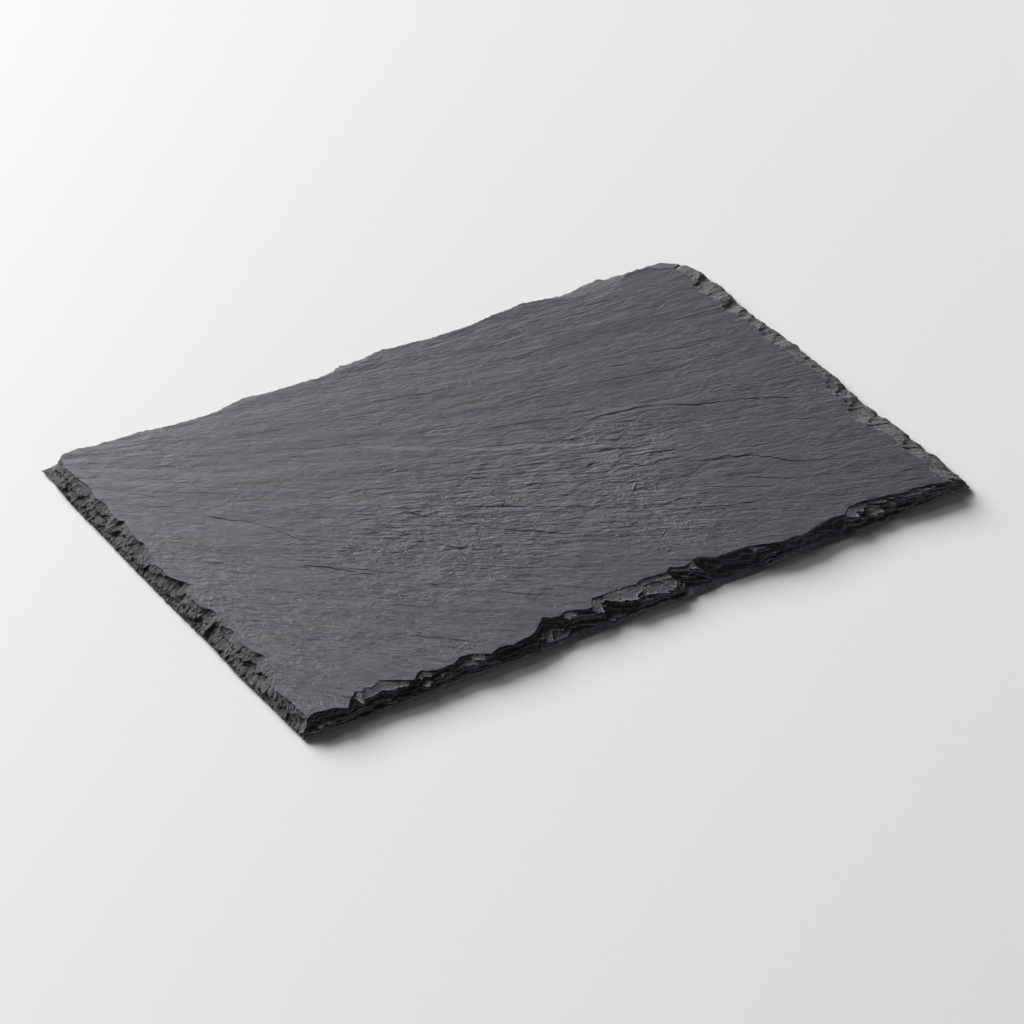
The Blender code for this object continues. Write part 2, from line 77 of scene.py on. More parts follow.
# outline: along, out; rim: along, inset; ledge and wall: along, inset, height
frontEdge = {
    "outline": ((-150, 0), (-144, 1), (-132, 1.2), (-104, 1.3), (-84, 0.8), (-62, 1.4), (-40, 1.7),
        (-16, 2.2), (1, 1), (22, 2.3), (33, 1.2), (45, 2), (68, 1.5), (90, 1.9), (104, 1.8), (131, 0.4),
        (150, 0)),
    "rim": ((-141, 5.5), (-135, 4.4), (-130, 1.8), (-127, 5.5), (-123, 8.5), (-121, 7), (-118.5, 8.7),
        (-117, 7.3), (-112, 9.5), (-101.5, 3), (-98, 6), (-96, 7), (-94, 5.2), (-90, 3.8), (-84.5, 3.8),
        (-79, 6.4), (-75, 5.3), (-69, 1.8), (-64, 3.6), (-59.5, 2.4), (-51, 3.2), (-47, 5.5),
        (-41, 10.5), (-38.5, 8.5), (-35, 8), (-31.5, 9.3), (-24, 6), (-22, 6.2), (-19, 11), (-8, 10.5),
        (0, 10), (4, 11.2), (14, 10), (17, 12), (22, 9.2), (29, 12), (35, 8.2), (49, 7.5), (56, 5.2),
        (62.5, 2.7), (68, 3.6), (72, 2.5), (79, 4.5), (87, 6), (93.5, 5), (97, 8.3), (104, 9),
        (112, 7.3), (122, 4.8), (126, 5.3), (137, 3)),
    "ledge": ((-145, 3.2, 4.9), (-138, 3.2, 4.9), (-131, 1.5, 4.6), (-125, 0.9, 3.5), (-123, 2.1, 4.8),
        (-118, 3.7, 5), (-107, 2.8, 5), (-101, 2.8, 5.2), (-97, 6, 5.2), (-91, 3.4, 5.2),
        (-84.5, 3, 5.1), (-79, 0.8, 3.8), (-74, 0.9, 4.7), (-68.5, 1.4, 5.1), (-60, 2, 5.2),
        (-51, 2.7, 5.2), (-41, 9.6, 5.3), (-36, 7.6, 5.2), (-30, 5.6, 5), (-24, 4.4, 4.9),
        (-19.5, 0.9, 4.4), (-17.5, 8.7, 5.2), (-14, 8.1, 5.1), (-10.5, 4.3, 4.9), (-7, 1.1, 4.4),
        (4, 1.4, 4.2), (14, 2.4, 4.2), (16, 9.8, 5.2), (19, 9.4, 5.2), (23, 7, 5), (28, 4.8, 4.8),
        (38, 6.4, 5.2), (44, 4.6, 4.9), (49, 1, 4), (60, 1.4, 4.6), (65, 2, 4.8), (74, 1.9, 4.7),
        (84, 3.2, 4.8), (88, 1.2, 4), (94, 3.6, 5), (104, 5, 5), (114, 3.4, 4.9), (126, 2.6, 4.8),
        (140, 1.6, 4.6)),
    "wall": ((-145, 1.4, 3), (-135, 1.2, 3), (-130, 1, 3.4), (-125, 0.6, 2.2), (-119, 0.5, 1.4),
        (-110, 0.9, 3), (-102, 1.8, 4.1), (-90, 2, 4), (-84, 1.6, 3.8), (-79, 0.5, 2.2),
        (-73, 0.7, 3.4), (-60, 1.2, 4.1), (-50, 1.8, 4.2), (-43, 1.2, 3.2), (-37, 0.8, 2.4),
        (-30, 0.5, 1.3), (-18, 0.6, 2), (-10, 0.9, 3), (3, 0.6, 2.2), (15, 1.5, 3.3), (20, 0.6, 1.4),
        (45, 0.5, 1.3), (58, 0.9, 3.2), (64, 0.9, 2), (67, 0.5, 1.3), (85, 0.5, 1.3), (92, 1.8, 3.9),
        (101, 2.2, 3.9), (110, 0.8, 2.2), (120, 0.6, 1.8), (140, 0.8, 2.4)),
    "smooth": ((26, 48), (64, 88)),
    "overhang": ((-106, -92), (-66, -50), (-20, -6), (56, 62)),
}
rightEdge = {
    "outline": ((-101.5, 0), (-89, 0.5), (-79.4, 1.7), (-74.4, 0.3), (-67.7, 1.6), (-63, 0.8),
        (-56.8, 1.4), (-45.6, 1.7), (-43.7, 0.5), (-31.4, 0.2), (-17, 1.4), (-11.3, 2.4), (-6.5, 1.6),
        (3, 2.5), (12.4, 1.3), (17, 3), (22.6, 1.5), (26.3, 2.8), (36.7, 1.3), (49.5, 1.2), (58.6, 1.8),
        (73.7, 3.3), (81, 2), (86, 2.7), (90, 1.6), (94, 0), (96.8, -2)),
    "rim": ((-96, 9.6), (-90, 11), (-84.6, 9), (-79, 10), (-72.5, 10.6), (-67, 10), (-59, 9.9),
        (-53, 12), (-45, 15), (-36, 12.5), (-29.5, 8.7), (-24.5, 11.6), (-15, 8), (-10, 7.7), (-3, 6.7),
        (1.5, 8), (8, 7.8), (13, 8.2), (18, 9), (22.5, 10.4), (30, 8), (36, 8.4), (42, 9), (47, 9.5),
        (50.5, 12), (57.5, 8.8), (63, 11.6), (68, 12), (74, 10.8), (78, 10), (83, 8.4)),
    "ledge": ((-98, 5.2, 3.9), (-60, 5.2, 3.8), (-45, 7.6, 3.9), (-25, 5.6, 3.8), (0, 4.2, 3.8),
        (50, 5.4, 3.8), (66, 6.2, 3.9), (86, 4.6, 3.9)),
    "wall": ((-98, 0.7, 1.3), (0, 0.7, 1.2), (86, 0.9, 1.5)),
    "smooth": ((-99, 92),),
    "overhang": (),
}
farEdge = {
    "outline": ((-150, 0.5), (-134, 1.2), (-118, 1), (-96, 0.6), (-76, 0.2), (-60, 1), (-44, 0.6),
        (-26, 0.2), (-8, 1.3), (14, 0.9), (34, 0.4), (50, 0.8), (70, 1.6), (90, 0), (106, 1.3),
        (124, 0.3), (136, 0.2), (141, -1), (145, -2.8), (148, -4.7)),
    "rim": ((-134, 0), (-130, 1.2), (-127, 1.8), (-124, 1.2), (-119, 2.2), (-106, 2.7), (-100, 4.2),
        (-90, 5.5), (-80, 6.1), (-76, 6.8), (-66, 6.3), (-58, 6.2), (-52, 4.6), (-46, 5.5), (-32, 6.4),
        (-27, 7.2), (-22, 6.6), (-14, 6.2), (-6, 5.6), (0, 2.6), (4, 1.8), (9, 3.2), (16, 3.8),
        (25, 5.2), (42, 6.1), (50, 5), (58, 3.9), (65, 3.6), (70, 2.7), (75, 3.9), (82, 5.2), (88, 9.2),
        (95, 10.2), (105, 9.8), (115, 8.8), (121, 6.4), (130, 6.4)),
    "ledge": ((-138, 0, 4.7), (-127, 1.3, 4.8), (-119, 1.3, 4.9), (-106, 1.9, 4.9), (-98, 3.3, 4.9),
        (-90, 4.3, 4.9), (-77, 5.5, 4.9), (-73, 4, 4.9), (-66, 2.2, 4.9), (-58, 1.5, 4.9),
        (-53, 2.6, 4.9), (-48, 4.1, 4.9), (-34, 4.2, 4.9), (-27, 5.7, 4.9), (-22, 4.5, 4.9),
        (-16, 1.9, 4.9), (-8, 2.2, 4.9), (1, 1.2, 4.9), (5, 0.7, 4.9), (9, 1.9, 4.9), (20, 2.9, 4.9),
        (28, 4.2, 4.9), (46, 4.3, 4.9), (52, 3.1, 4.9), (60, 2.5, 4.9), (70, 1.4, 4.9), (76, 2.6, 4.9),
        (86, 3.9, 4.9), (91, 5.2, 4.9), (97, 4.1, 4.9), (102, 2.3, 4.9), (108, 2.5, 4.9),
        (118, 4.1, 4.9), (124, 4.8, 4.8), (134, 4.4, 4.7)),
    "wall": ((-138, 0, 2.8), (-100, 0.6, 3), (-90, 1.3, 3), (-77, 2.5, 3), (-60, 0, 3), (-46, 1.4, 3),
        (-27, 2.8, 2.9), (-14, 0, 3), (4, -0.2, 3), (28, 1.5, 3), (46, 1.6, 3), (68, 0, 3),
        (90, 2.6, 2.9), (104, 0.4, 3), (122, 2.1, 2.9), (136, 2.2, 2.6)),
    "smooth": ((-70, -55), (-22, -3), (84, 138)),
    "overhang": ((20, 60),),
}
leftEdge = {
    "outline": ((-101.5, 0), (-87, 0.2), (-54, 0.9), (-34, 0.3), (1, 0.8), (20, 1), (50, 0.7),
        (79, 0.7), (90, -0.1), (102, 0)),
    "rim": ((-86, 4), (-77, 3), (-74, 3.5), (-69, 6.5), (-65, 7.7), (-61, 8.4), (-57, 10), (-52, 8),
        (-46, 6.4), (-41, 7), (-37, 8.2), (-31, 6), (-25, 8.2), (-21, 8), (-17, 5), (-11, 4.6), (-6, 6),
        (-2.4, 8.8), (1.5, 7), (5, 5.2), (8, 3.9), (12, 4.4), (17, 3.6), (21, 5.2), (26, 6), (30, 7),
        (33, 6), (39, 5.8), (44, 7), (48, 7.8), (49.5, 5.8), (53, 6), (58, 6.6), (62, 7.4), (67, 5.5),
        (70, 6.1), (75, 7.5), (79, 6.8), (84, 6.1), (92, 5.7), (97, 6.7)),
    "ledge": ((-96, 3.2, 4.9), (-85, 3.2, 5), (-76, 2.6, 4.8), (-72, 3, 5), (-64, 4.4, 5),
        (-60, 6.8, 5.1), (-56, 9.4, 5.3), (-54, 4.8, 4.9), (-50, 3.7, 4.9), (-38, 4.8, 5),
        (-24, 6.4, 5.1), (-18, 4.2, 5), (-14.6, 2, 4.6), (-7, 4.4, 5), (-2, 7.6, 5.3), (9, 3.3, 4.9),
        (15, 2.5, 4.8), (25, 4.4, 5), (30.6, 6.6, 5.2), (40, 5, 5), (45, 3.8, 4.8), (60, 6, 5.1),
        (67.5, 3.8, 4.9), (71, 5, 5), (76, 3.9, 4.9), (85, 2.6, 4.7), (92, 4, 4.5), (98, 5.4, 4)),
    "wall": ((-96, 1.3, 3.2), (-86, 2.4, 3.9), (-75, 2, 3.8), (-73, 1.2, 3.2), (-65, 0.8, 3),
        (-56, 1.4, 3.4), (-54.8, 0.8, 3), (-39, 1.4, 3.6), (-37, 0.7, 2.8), (-15, 1.5, 3.4),
        (-2, 3.6, 4.3), (9, 2.4, 3.9), (14.6, 1.4, 3.4), (24.5, 0.8, 3), (33, 2.4, 3.9), (38, 2.6, 3.9),
        (40, 0.9, 3), (58, 1.5, 3.5), (65, 2.6, 4), (69, 1.2, 3.3), (79, 1.8, 3.6), (88, 0.8, 2.6),
        (94, 2, 2), (99, 3.6, 1.6)),
    "smooth": (),
    "overhang": ((-76, -72), (-58, -50), (15, 24), (36, 42), (66, 72), (82, 92)),
}
frontSide, rightSide, farSide, leftSide = range(4)
# lists, corner it starts from, axis it runs along, outward sign, half size across
sides = (
    (frontEdge, 0, 0, -1.0, slabSize["halfWidth"]),
    (rightEdge, 1, 1, 1.0, slabSize["halfLength"]),
    (farEdge, 2, 0, 1.0, slabSize["halfWidth"]),
    (leftEdge, 3, 1, -1.0, slabSize["halfLength"]),
)

# shell-shaped chips on the right side, by where their raised edges meet the outline
chips = {
    "edges": (-92.5, -83.0, -74.0, -60.0, -38.5, -25.5, -15.5, -8.0, 8.6, 21.8,
              28.9, 38.8, 46.7, 52.9, 61.9, 74.0, 83.5, 92.0),
    "lean": 0.85,           # how far a raised edge runs back along the side for each step in
    "depth": 0.80,          # greatest hollow of a chip
    "rimBite": 1.8,         # how far a chip cuts into the rim and into the outline
    "outlineBite": 0.75,
    "wander": 0.8,
}

# thin layers that end on the top face: height of the step (+ when the far side is the
# high one), then points along it from left to right
topLedges = (
    (-0.30, ((-40, 43), (-29, 35), (-17, 27), (2, 14), (14, 9), (38, -3))),
    (0.16, ((-115, 35), (-107, 26), (-102, 22), (-97, 13), (-92, 2), (-89, -3))),
    (0.18, ((45, 11), (54, 11), (59, 10), (66, 9), (74, 6), (80, 3), (90, -3), (97, -5), (113, -12),
        (127, -20))),
    (0.18, ((26, -5), (38, -10), (40, -9), (43, -12), (51, -14))),
    (0.16, ((42, -6), (47, -7), (52, -5), (58, -9))),
    (0.16, ((51, -20), (60, -23), (67, -26))),
    (0.20, ((51, -27), (64, -31))),
    (0.20, ((63, -35), (73, -39), (77, -39), (90, -45))),
    (0.30, ((32, -41), (38, -36))),
    (0.20, ((30, -41), (35, -43))),
    (0.20, ((37, -57), (50, -63), (59, -67), (65, -69), (72, -72))),
    (-0.14, ((7, -29), (15, -33), (19, -34))),
    (0.15, ((5, -32), (13, -39))),
    (0.15, ((-15, -21), (-4, -29))),
    (0.15, ((21, -41), (27, -45))),
    (0.18, ((-55, -4), (-48, -4), (-44, -11), (-37, -12))),
    (0.24, ((-52, -26), (-47, -33), (-43, -37), (-38, -36))),
    (0.18, ((-37, -17), (-28, -28), (-24, -34), (-11, -44), (-1, -53))),
    (0.14, ((-32, -11), (-22, -17), (-9, -25), (14, -40))),
    (0.12, ((-14, -6), (-4, -11))),
    (0.12, ((1, 78), (8, 76))),
    (0.12, ((-27, 79), (-12, 73))),
    (-0.10, ((47, 45), (64, 37))),
    (0.12, ((-56, 59), (-44, 51))),
    (0.12, ((-80, 35), (-74, 31))),
    (0.10, ((-116, 93), (-105, 90))),
    (0.12, ((-134, 66), (-122, 53))),
    (0.12, ((-129, 7), (-123, 3))),
    (-0.12, ((-99, -2), (-84, -16))),
    (0.14, ((-100, -13), (-93, -19), (-86, -27), (-78, -35))),
    (0.10, ((-115, 61), (-106, 56))),
    (0.12, ((57, -51), (79, -65), (85, -69))),
    (0.12, ((78, -73), (91, -81))),
    (0.12, ((74, -54), (93, -67), (102, -70), (112, -75))),
    (0.14, ((67, -36), (80, -41), (86, -44), (92, -49), (98, -56), (106, -60), (120, -63))),
    (0.10, ((126, -83), (138, -87))),
    (0.12, ((125, -45), (137, -51))),
    (0.10, ((113, -30), (129, -39))),
    (0.16, ((-106, -76), (-101, -80), (-98, -85), (-96, -92))),
    (0.12, ((-89, -73), (-83, -79))),
    (0.14, ((-40, -63), (-31, -70))),
    (-0.12, ((10, -60), (17, -64), (24, -64), (29, -66), (36, -70))),
    (-0.12, ((10, -67), (17, -68), (23, -68))),
    (0.20, ((24, -72), (30, -68))),
    (0.15, ((34, -73), (37, -74), (41, -76))),
    (0.15, ((-33, -74), (-29, -77), (-26, -76))),
    (0.12, ((-31, -81), (-26, -84))),
    (0.12, ((92, 40), (103, 37), (114, 33))),
    (0.10, ((71, 40), (87, 36), (97, 32))),
    (0.10, ((51, 21), (65, 16))),
)
smallLedges = {
    "seed": 7,
    "count": 150,
    "length": (6.0, 34.0),
    "height": (0.025, 0.08),
    "drift": 0.03,                        # how far they stray from the grain
    "farHighShare": 0.75,
    "patch": ((30.0, -62.0, 66.0, 14.0), (-68.0, -62.0, 30.0, 8.0)),   # short ledges across the grain
    "patchCount": (34, 46),
    "patchLength": (2.5, 8.0),
    "patchHeight": (0.08, 0.24),
    "patchTurn": (-75, 15),               # directions in degrees
    "wobble": ((6.5, 0.55), (2.2, 0.3)),  # length and size of the line's waves
    "breath": ((9.0, 0.5), (3.0, 0.4)),   # the same for its height
    "growth": 1.25,                       # all heights are this much greater than listed
    "fall": 4.0,                          # how far a ledge's swelling reaches back
    "swell": 0.6,                         # share of the height above the level and below it
    "dip": 0.4,
    "step": 0.8,                          # spacing of mesh points along a ledge
    "steepness": 1.3,
    "backLean": 6.0,                      # how much wider a face is that looks away
    "lipHighlight": (0, 0.95),                    # which ledge has a painted highlight along its lip, and its width
}

# how rough the top face is: middle, radii and amount of each rougher or calmer patch
topPatches = {
    "level": 0.76,
    "uneven": 0.34,
    "rough": ((-8.0, -27.0, 68.0, 38.0, 0.85), (50.0, -14.0, 20.0, 26.0, 0.9),
              (34.0, -62.0, 24.0, 20.0, 1.1), (10.0, 66.0, 190.0, 56.0, -0.28)),
    "limits": (0.35, 2.8),
}

# the top's cleavage: width, length, seed, layers and gain of the noise along the grain,
# then its height, and for the terraced ones the count, sharpness and share taken back
riven = {
    "steps": ((22.0, 120.0, 5, 3, 0.55), 0.030, (2.6, 4.0, 0.8)),
    "scales": ((8.0, 46.0, 23, 3, 0.6), 0.045, (1.8, 2.6, 0.6)),
    "ridges": ((3.4, 14.0, 47, 2, 0.7), 0.112),
}

# smallest turn in degrees that shows as a crisp edge
sharpTurn = {"edge": 27.0, "face": 15.0}

# broken lines: length and size of each wave, then the cusps' length, level and depth
ragged = {
    "rim": (((5.3, 0.5), (2.1, 0.45), (0.95, 0.3)), (3.4, 0.5, 1.6)),
    "layer": (((8.5, 1.3), (4.4, 0.8), (1.8, 0.5), (0.9, 0.4)), (3.0, 0.4, 1.5)),
    "nicks": ((4.2, 0.30), (1.3, 0.22)),        # small bites into the outline
    "drift": ((16.0, 0.7), (6.0, 0.5)),         # how the layers' heights wander
}

# the stone breaks in thin layers, each with its own ragged line
layers = {
    "below": (4.3, 3.4, 2.5, 1.8, 1.2, 0.60),   # top of each, measured down from the riven face
    "wander": 0.55,              # how far those depths drift along the edge
    "slope": 0.66,               # share of a layer's thickness that its tread climbs
    "sag": 0.07,                 # hollow of a tread
    "thinnest": 0.22,
    "jag": (0.12, 0.50),         # raggedness of the lines on the wall and on a wide tread
    "flush": (0.0, 0.1, 0.1, 0.2, 0.3, 0.5),   # how often each breaks off flush with the one below
    "tooth": (7.5, 1.5),         # length and reach of the splinters along the grain
    "farTooth": 0.25,            # share of that reach on the far side
    "undercut": 0.08,            # how far a layer stands out over the one below it
    "overhang": 0.50,            # the same under the large flakes
    "ledgeDrop": 0.70,           # depth of the step under the top ledge
    "kept": (1.0, 0.2, 1.0, 0.65),    # share of the layers that shows on each side
    "smoothShare": 0.12,         # the same on a smooth flake scar
    "rimJag": 0.40,
    "rough": (0.36, 0.20),       # crumbling of the wall and of the treads
    "crumble": (1.25, 1.3, 0.9, 1.45),    # strength of the crumbling on each side
    "coarse": (0.60, 0.50, 0.50, 0.34),   # share of large facets in it
    "paintedSideShading": (2.10, 0.95, 0.75, 0.62),    # painted light and shade: how much lighter or darker the broken walls are coloured on each side, the front painted lighter and the left side darker
    # painted shade on the treads of each side, darkest on the front
    "paintedTreadShading": (0.30, 0.95, 0.75, 0.60),
    "paleAndSheen": (0.0, 1.0, 0.6, 0.0),         # how much of the paler colour on each side: partly weathered stone, partly a painted sheen on the right and far sides, which face the light
}


def latticeNoise(x, y, seed):
    # smooth noise from -1 to 1: a slope picked at random for each whole-number point,
    # blended between the four corners of a cell by 6t^5 - 15t^4 + 10t^3
    x, y = np.broadcast_arrays(np.asarray(x, float), np.asarray(y, float))
    left = np.floor(x).astype(np.int64)
    low = np.floor(y).astype(np.int64)
    partX = x - left
    partY = y - low

    def slope(stepX, stepY):
        mix = (left + stepX) * 374761393 + (low + stepY) * 668265263 + seed * 144269504
        mix = ((mix ^ (mix >> 13)) * 1274126177) & 0x7FFFFFFF
        mix ^= mix >> 15
        angle = (mix & 0xFFFF) * (math.tau / 65536.0)
        return np.cos(angle) * (partX - stepX) + np.sin(angle) * (partY - stepY)

    easeX = partX ** 3 * (partX * (partX * 6 - 15) + 10)
    easeY = partY ** 3 * (partY * (partY * 6 - 15) + 10)
    near = slope(0, 0) * (1 - easeX) + slope(1, 0) * easeX
    far = slope(0, 1) * (1 - easeX) + slope(1, 1) * easeX
    return 1.5 * (near * (1 - easeY) + far * easeY)


def layeredNoise(x, y, seed, octaves, gain=0.5):
    # sum of lattice noises, each twice as fine and gain times as high as the last
    total = 0.0
    for octave in range(octaves):
        fine = latticeNoise(x * 2 ** octave, y * 2 ** octave, seed + 17 * octave)
        total = total + gain ** octave * fine
    return total


def easeBetween(first, second, part):
    # straight from the first (part 0) to the second (part 1)
    return first + (second - first) * part


def waveSum(track, row, waves, seed):
    # lattice noises along a line, each given by its length and size, added up
    return sum(size * latticeNoise(track / length, row, seed + order)
               for order, (length, size) in enumerate(waves))


def raggedLine(track, row, kind, seed):
    # waves of several lengths and a row of outward cusps, level - depth |noise|
    waves, (length, level, depth) = ragged[kind]
    cusps = level - depth * np.abs(latticeNoise(track / length, row, seed + len(waves)))
    return waveSum(track, row, waves, seed) + cusps


def chipFacets(x, y, seed):
    # flat broken faces: the plane is cut into cells round jittered points, and each
    # cell has its own level and its own tilt
    cellX = np.floor(x).astype(np.int64)
    cellY = np.floor(y).astype(np.int64)
    best = np.full(x.shape, 9.0)
    value = np.zeros(x.shape)
    for stepX in (-1, 0, 1):
        for stepY in (-1, 0, 1):
            mix = (cellX + stepX) * 73856093 + (cellY + stepY) * 19349663 + seed * 83492791
            mix = ((mix ^ (mix >> 11)) * 1103515245) & 0x7FFFFFFF
            mix ^= mix >> 13
            seedX = cellX + stepX + ((mix & 255) / 255.0)
            seedY = cellY + stepY + (((mix >> 8) & 255) / 255.0)
            gapX = x - seedX
            gapY = y - seedY
            distance = gapX ** 2 + gapY ** 2
            level = ((mix >> 16) & 63) / 63.0 - 0.5
            tiltX = ((mix >> 4) & 63) / 63.0 - 0.5
            tiltY = ((mix >> 12) & 63) / 63.0 - 0.5
            facet = level + 1.3 * tiltX * gapX + 1.3 * tiltY * gapY
            value = np.where(distance < best, facet, value)
            best = np.minimum(distance, best)
    return value


def readList(points, along, index=1):
    # straight lines between the points of a list
    table = np.array(points, dtype=float)
    return np.interp(along, table[:, 0], table[:, index])


def inSpans(along, spans, soft):
    # 1 inside any of the spans, 0 outside, with soft ends
    inside = np.zeros(len(along))
    for first, last in spans:
        rise = np.clip((along - first) / soft + 0.5, 0, 1) * np.clip((last - along) / soft + 0.5, 0, 1)
        inside = np.maximum(inside, rise)
    return inside


def fanCoordinates(x, y):
    # a spiral fan: angle and log of the distance from its centre, turned by the twist,
    # so that one result is constant along each grain line and the other runs along it
    gapX = x - grain["centre"][0]
    gapY = y - grain["centre"][1]
    logRadius = np.log(np.hypot(gapX, gapY) / grain["radius"])
    angle = np.arctan2(gapY, gapX)
    cosine, sine = math.cos(grain["twist"]), math.sin(grain["twist"])
    across = grain["radius"] * (cosine * angle - sine * logRadius)
    along = grain["radius"] * (cosine * logRadius + sine * angle)
    return across, along


def fanPoint(across, along):
    # the way back from fan coordinates to a point on the slab
    cosine, sine = math.cos(grain["twist"]), math.sin(grain["twist"])
    angle = (cosine * across + sine * along) / grain["radius"]
    logRadius = (cosine * along - sine * across) / grain["radius"]
    distance = grain["radius"] * np.exp(logRadius)
    centreX, centreY = grain["centre"]
    return centreX + distance * np.cos(angle), centreY + distance * np.sin(angle)


def fanReach(x, y):
    # distance from the fan's centre, counted in its radius
    return np.hypot(x - grain["centre"][0], y - grain["centre"][1]) / grain["radius"]


def evenGrain(x, y, width, length, seed, octaves, gain=0.5):
    # grain of the same real width all over: two noises an octave apart in fan
    # coordinates, blended by the distance from the fan's centre
    across, along = fanCoordinates(x, y)
    octave = np.log2(fanReach(x, y)) + 1.0
    lower = np.floor(octave)
    part = octave - lower
    first = second = 0.0
    for level in (-1, 0, 1, 2):
        scale = 2.0 ** (level - 1)
        field = layeredNoise(along / length * scale, across / width * scale, seed + 31 * level,
                             octaves, gain)
        first = np.where(lower == level, field, first)
        second = np.where(lower + 1 == level, field, second)
    blend = np.sqrt((1 - part) ** 2 + part ** 2)
    return (first * (1 - part) + second * part) / blend


def broadHeight(x, y):
    # the same slow waves as the solid: sines across the grain that bend along it
    across, along = fanCoordinates(x, y)
    height = np.full(np.shape(x), slabSize["thickness"])
    for order, (width, length, rise) in enumerate(grain["waves"]):
        bend = grain["waveBend"] * np.sin(math.tau * along / length + 1.7 * order)
        height = height + rise * np.sin(math.tau * across / width + bend + 2.1 * order)
    return height


def terraces(value, sharp):
    # turns a slope into flat treads with steep steps: whole levels plus a fast ease
    level = np.floor(value)
    part = np.clip((value - level - 0.5) * sharp + 0.5, 0, 1)
    return level + part * part * (3 - 2 * part)


def alongLine(points, step):
    # even steps along straight stretches between points
    points = np.array(points, dtype=float)
    lengths = np.concatenate(([0.0], np.cumsum(np.hypot(*np.diff(points, axis=0).T))))
    stops = np.linspace(0, lengths[-1], max(3, int(lengths[-1] / step) + 1))
    return np.column_stack([np.interp(stops, lengths, points[:, axis]) for axis in (0, 1)]), stops


def sideOf(line):
    # unit vectors square to a line of points, to its left
    ahead = np.gradient(line, axis=0)
    ahead /= np.linalg.norm(ahead, axis=1, keepdims=True)
    return np.column_stack((-ahead[:, 1], ahead[:, 0]))


def ledgeLines():
    # every ledge as a wavy line of points with its unit side vector and its height,
    # which tapers to nothing at both ends
    chance = np.random.default_rng(smallLedges["seed"])
    plans = list(topLedges)
    for _ in range(smallLedges["count"]):
        x, y = chance.uniform(-140, 135), chance.uniform(-92, 92)
        length = chance.uniform(*smallLedges["length"]) / fanReach(x, y)
        across, along = fanCoordinates(x, y)
        ways = np.linspace(0, length, 6)
        drift = chance.uniform(-smallLedges["drift"], smallLedges["drift"])
        lineX, lineY = fanPoint(across + drift * ways, along + ways)
        height = chance.uniform(*smallLedges["height"])
        if chance.random() > smallLedges["farHighShare"]:
            height = -height
        plans.append((height, tuple(zip(lineX, lineY))))
    for (lowX, lowY, highX, highY), count in zip(smallLedges["patch"], smallLedges["patchCount"]):
        for _ in range(count):
            x, y = chance.uniform(lowX, highX), chance.uniform(lowY, highY)
            turn = math.radians(chance.uniform(*smallLedges["patchTurn"]))
            length = chance.uniform(*smallLedges["patchLength"])
            plans.append((chance.uniform(*smallLedges["patchHeight"]),
                          ((x, y), (x + length * math.cos(turn), y + length * math.sin(turn)))))
    lines = []
    for order, (height, points) in enumerate(plans):
        line, stops = alongLine(points, smallLedges["step"])
        wave = waveSum(stops, order + 0.5, smallLedges["wobble"], 3)
        wave = wave * np.clip(stops[-1] / 12.0, 0.3, 1.0)
        line = line + sideOf(line) * wave[:, None]
        taper = np.clip(np.minimum(stops, stops[-1] - stops) / min(6.0, stops[-1] / 2.2), 0, 1)
        breath = 0.72 + waveSum(stops, order + 0.5, smallLedges["breath"], 8)
        drop = smallLedges["growth"] * height * taper * breath
        kept = np.abs(drop) > 0.12 * abs(height)
        lines.append((line[kept], sideOf(line)[kept], drop[kept]))
    return lines


ledgesOnTop = ledgeLines()


def ledgeRun(height):
    # half the width of a ledge's broken face, which leans more where it faces away
    lean = np.where(height > 0, 1.0, smallLedges["backLean"])
    return 0.5 * lean * np.abs(height) / smallLedges["steepness"] + 0.006


def ledgeRelief(x, y):
    # each layer swells up to its broken line, drops there, and the lower layer
    # comes back to the level within a few millimetres
    total = np.zeros(x.shape)
    fall, swell, dip = (smallLedges[name] for name in ("fall", "swell", "dip"))
    for line, side, height in ledgesOnTop:
        low = line.min(axis=0) - 3 * fall
        high = line.max(axis=0) + 3 * fall
        near = np.flatnonzero((x > low[0]) & (x < high[0]) & (y > low[1]) & (y < high[1]))
        if not len(near):
            continue
        gapX = x[near, None] - line[:, 0]
        gapY = y[near, None] - line[:, 1]
        distance = gapX ** 2 + gapY ** 2
        closest = distance.argmin(axis=1)
        reach = np.sqrt(distance[np.arange(len(near)), closest])
        offset = gapX[np.arange(len(near)), closest] * side[closest, 0]
        offset = offset + gapY[np.arange(len(near)), closest] * side[closest, 1]
        rise = height[closest]
        beyond = np.sqrt(np.maximum(reach ** 2 - offset ** 2, 0))
        rise = rise * np.exp(-(beyond / 1.5) ** 2)
        upper = np.where(rise >= 0, offset, -offset)
        size = np.abs(rise)
        step = np.clip(upper / (0.8 * ledgeRun(rise)), -1, 1)
        shape = np.where(upper >= 0, swell * np.exp(-upper / fall), -dip * np.exp(upper / (0.5 * fall)))
        face = (swell - dip) / 2 + (swell + dip) / 2 * step
        total[near] += size * np.where(np.abs(step) < 1, face, shape)
    return total


def ruggedness(x, y):
    # how rough the split is: uneven everywhere, and roughest in broad patches that
    # fade out by exp(-r^4), r counted in radii
    total = topPatches["level"] + topPatches["uneven"] * layeredNoise(x / 30.0, y / 24.0, 61, 2)
    for middleX, middleY, radiusX, radiusY, amount in topPatches["rough"]:
        reach = ((x - middleX) / radiusX) ** 2 + ((y - middleY) / radiusY) ** 2
        total = total + amount * np.exp(-reach ** 2)
    return np.clip(total, *topPatches["limits"])


def paintedLipHighlight(x, y):
    # painted highlight: 1 on the line of the ledge whose step faces the light, falling off by exp(-r^2),
    # r counted in widths
    which, width = smallLedges["lipHighlight"]
    line, _, height = ledgesOnTop[which]
    near = np.hypot(x[:, None] - line[:, 0], y[:, None] - line[:, 1])
    closest = near.argmin(axis=1)
    share = np.clip(1.5 * np.abs(height[closest]) / np.abs(height).max(), 0, 1)
    return share * np.exp(-(near.min(axis=1) / width) ** 2)


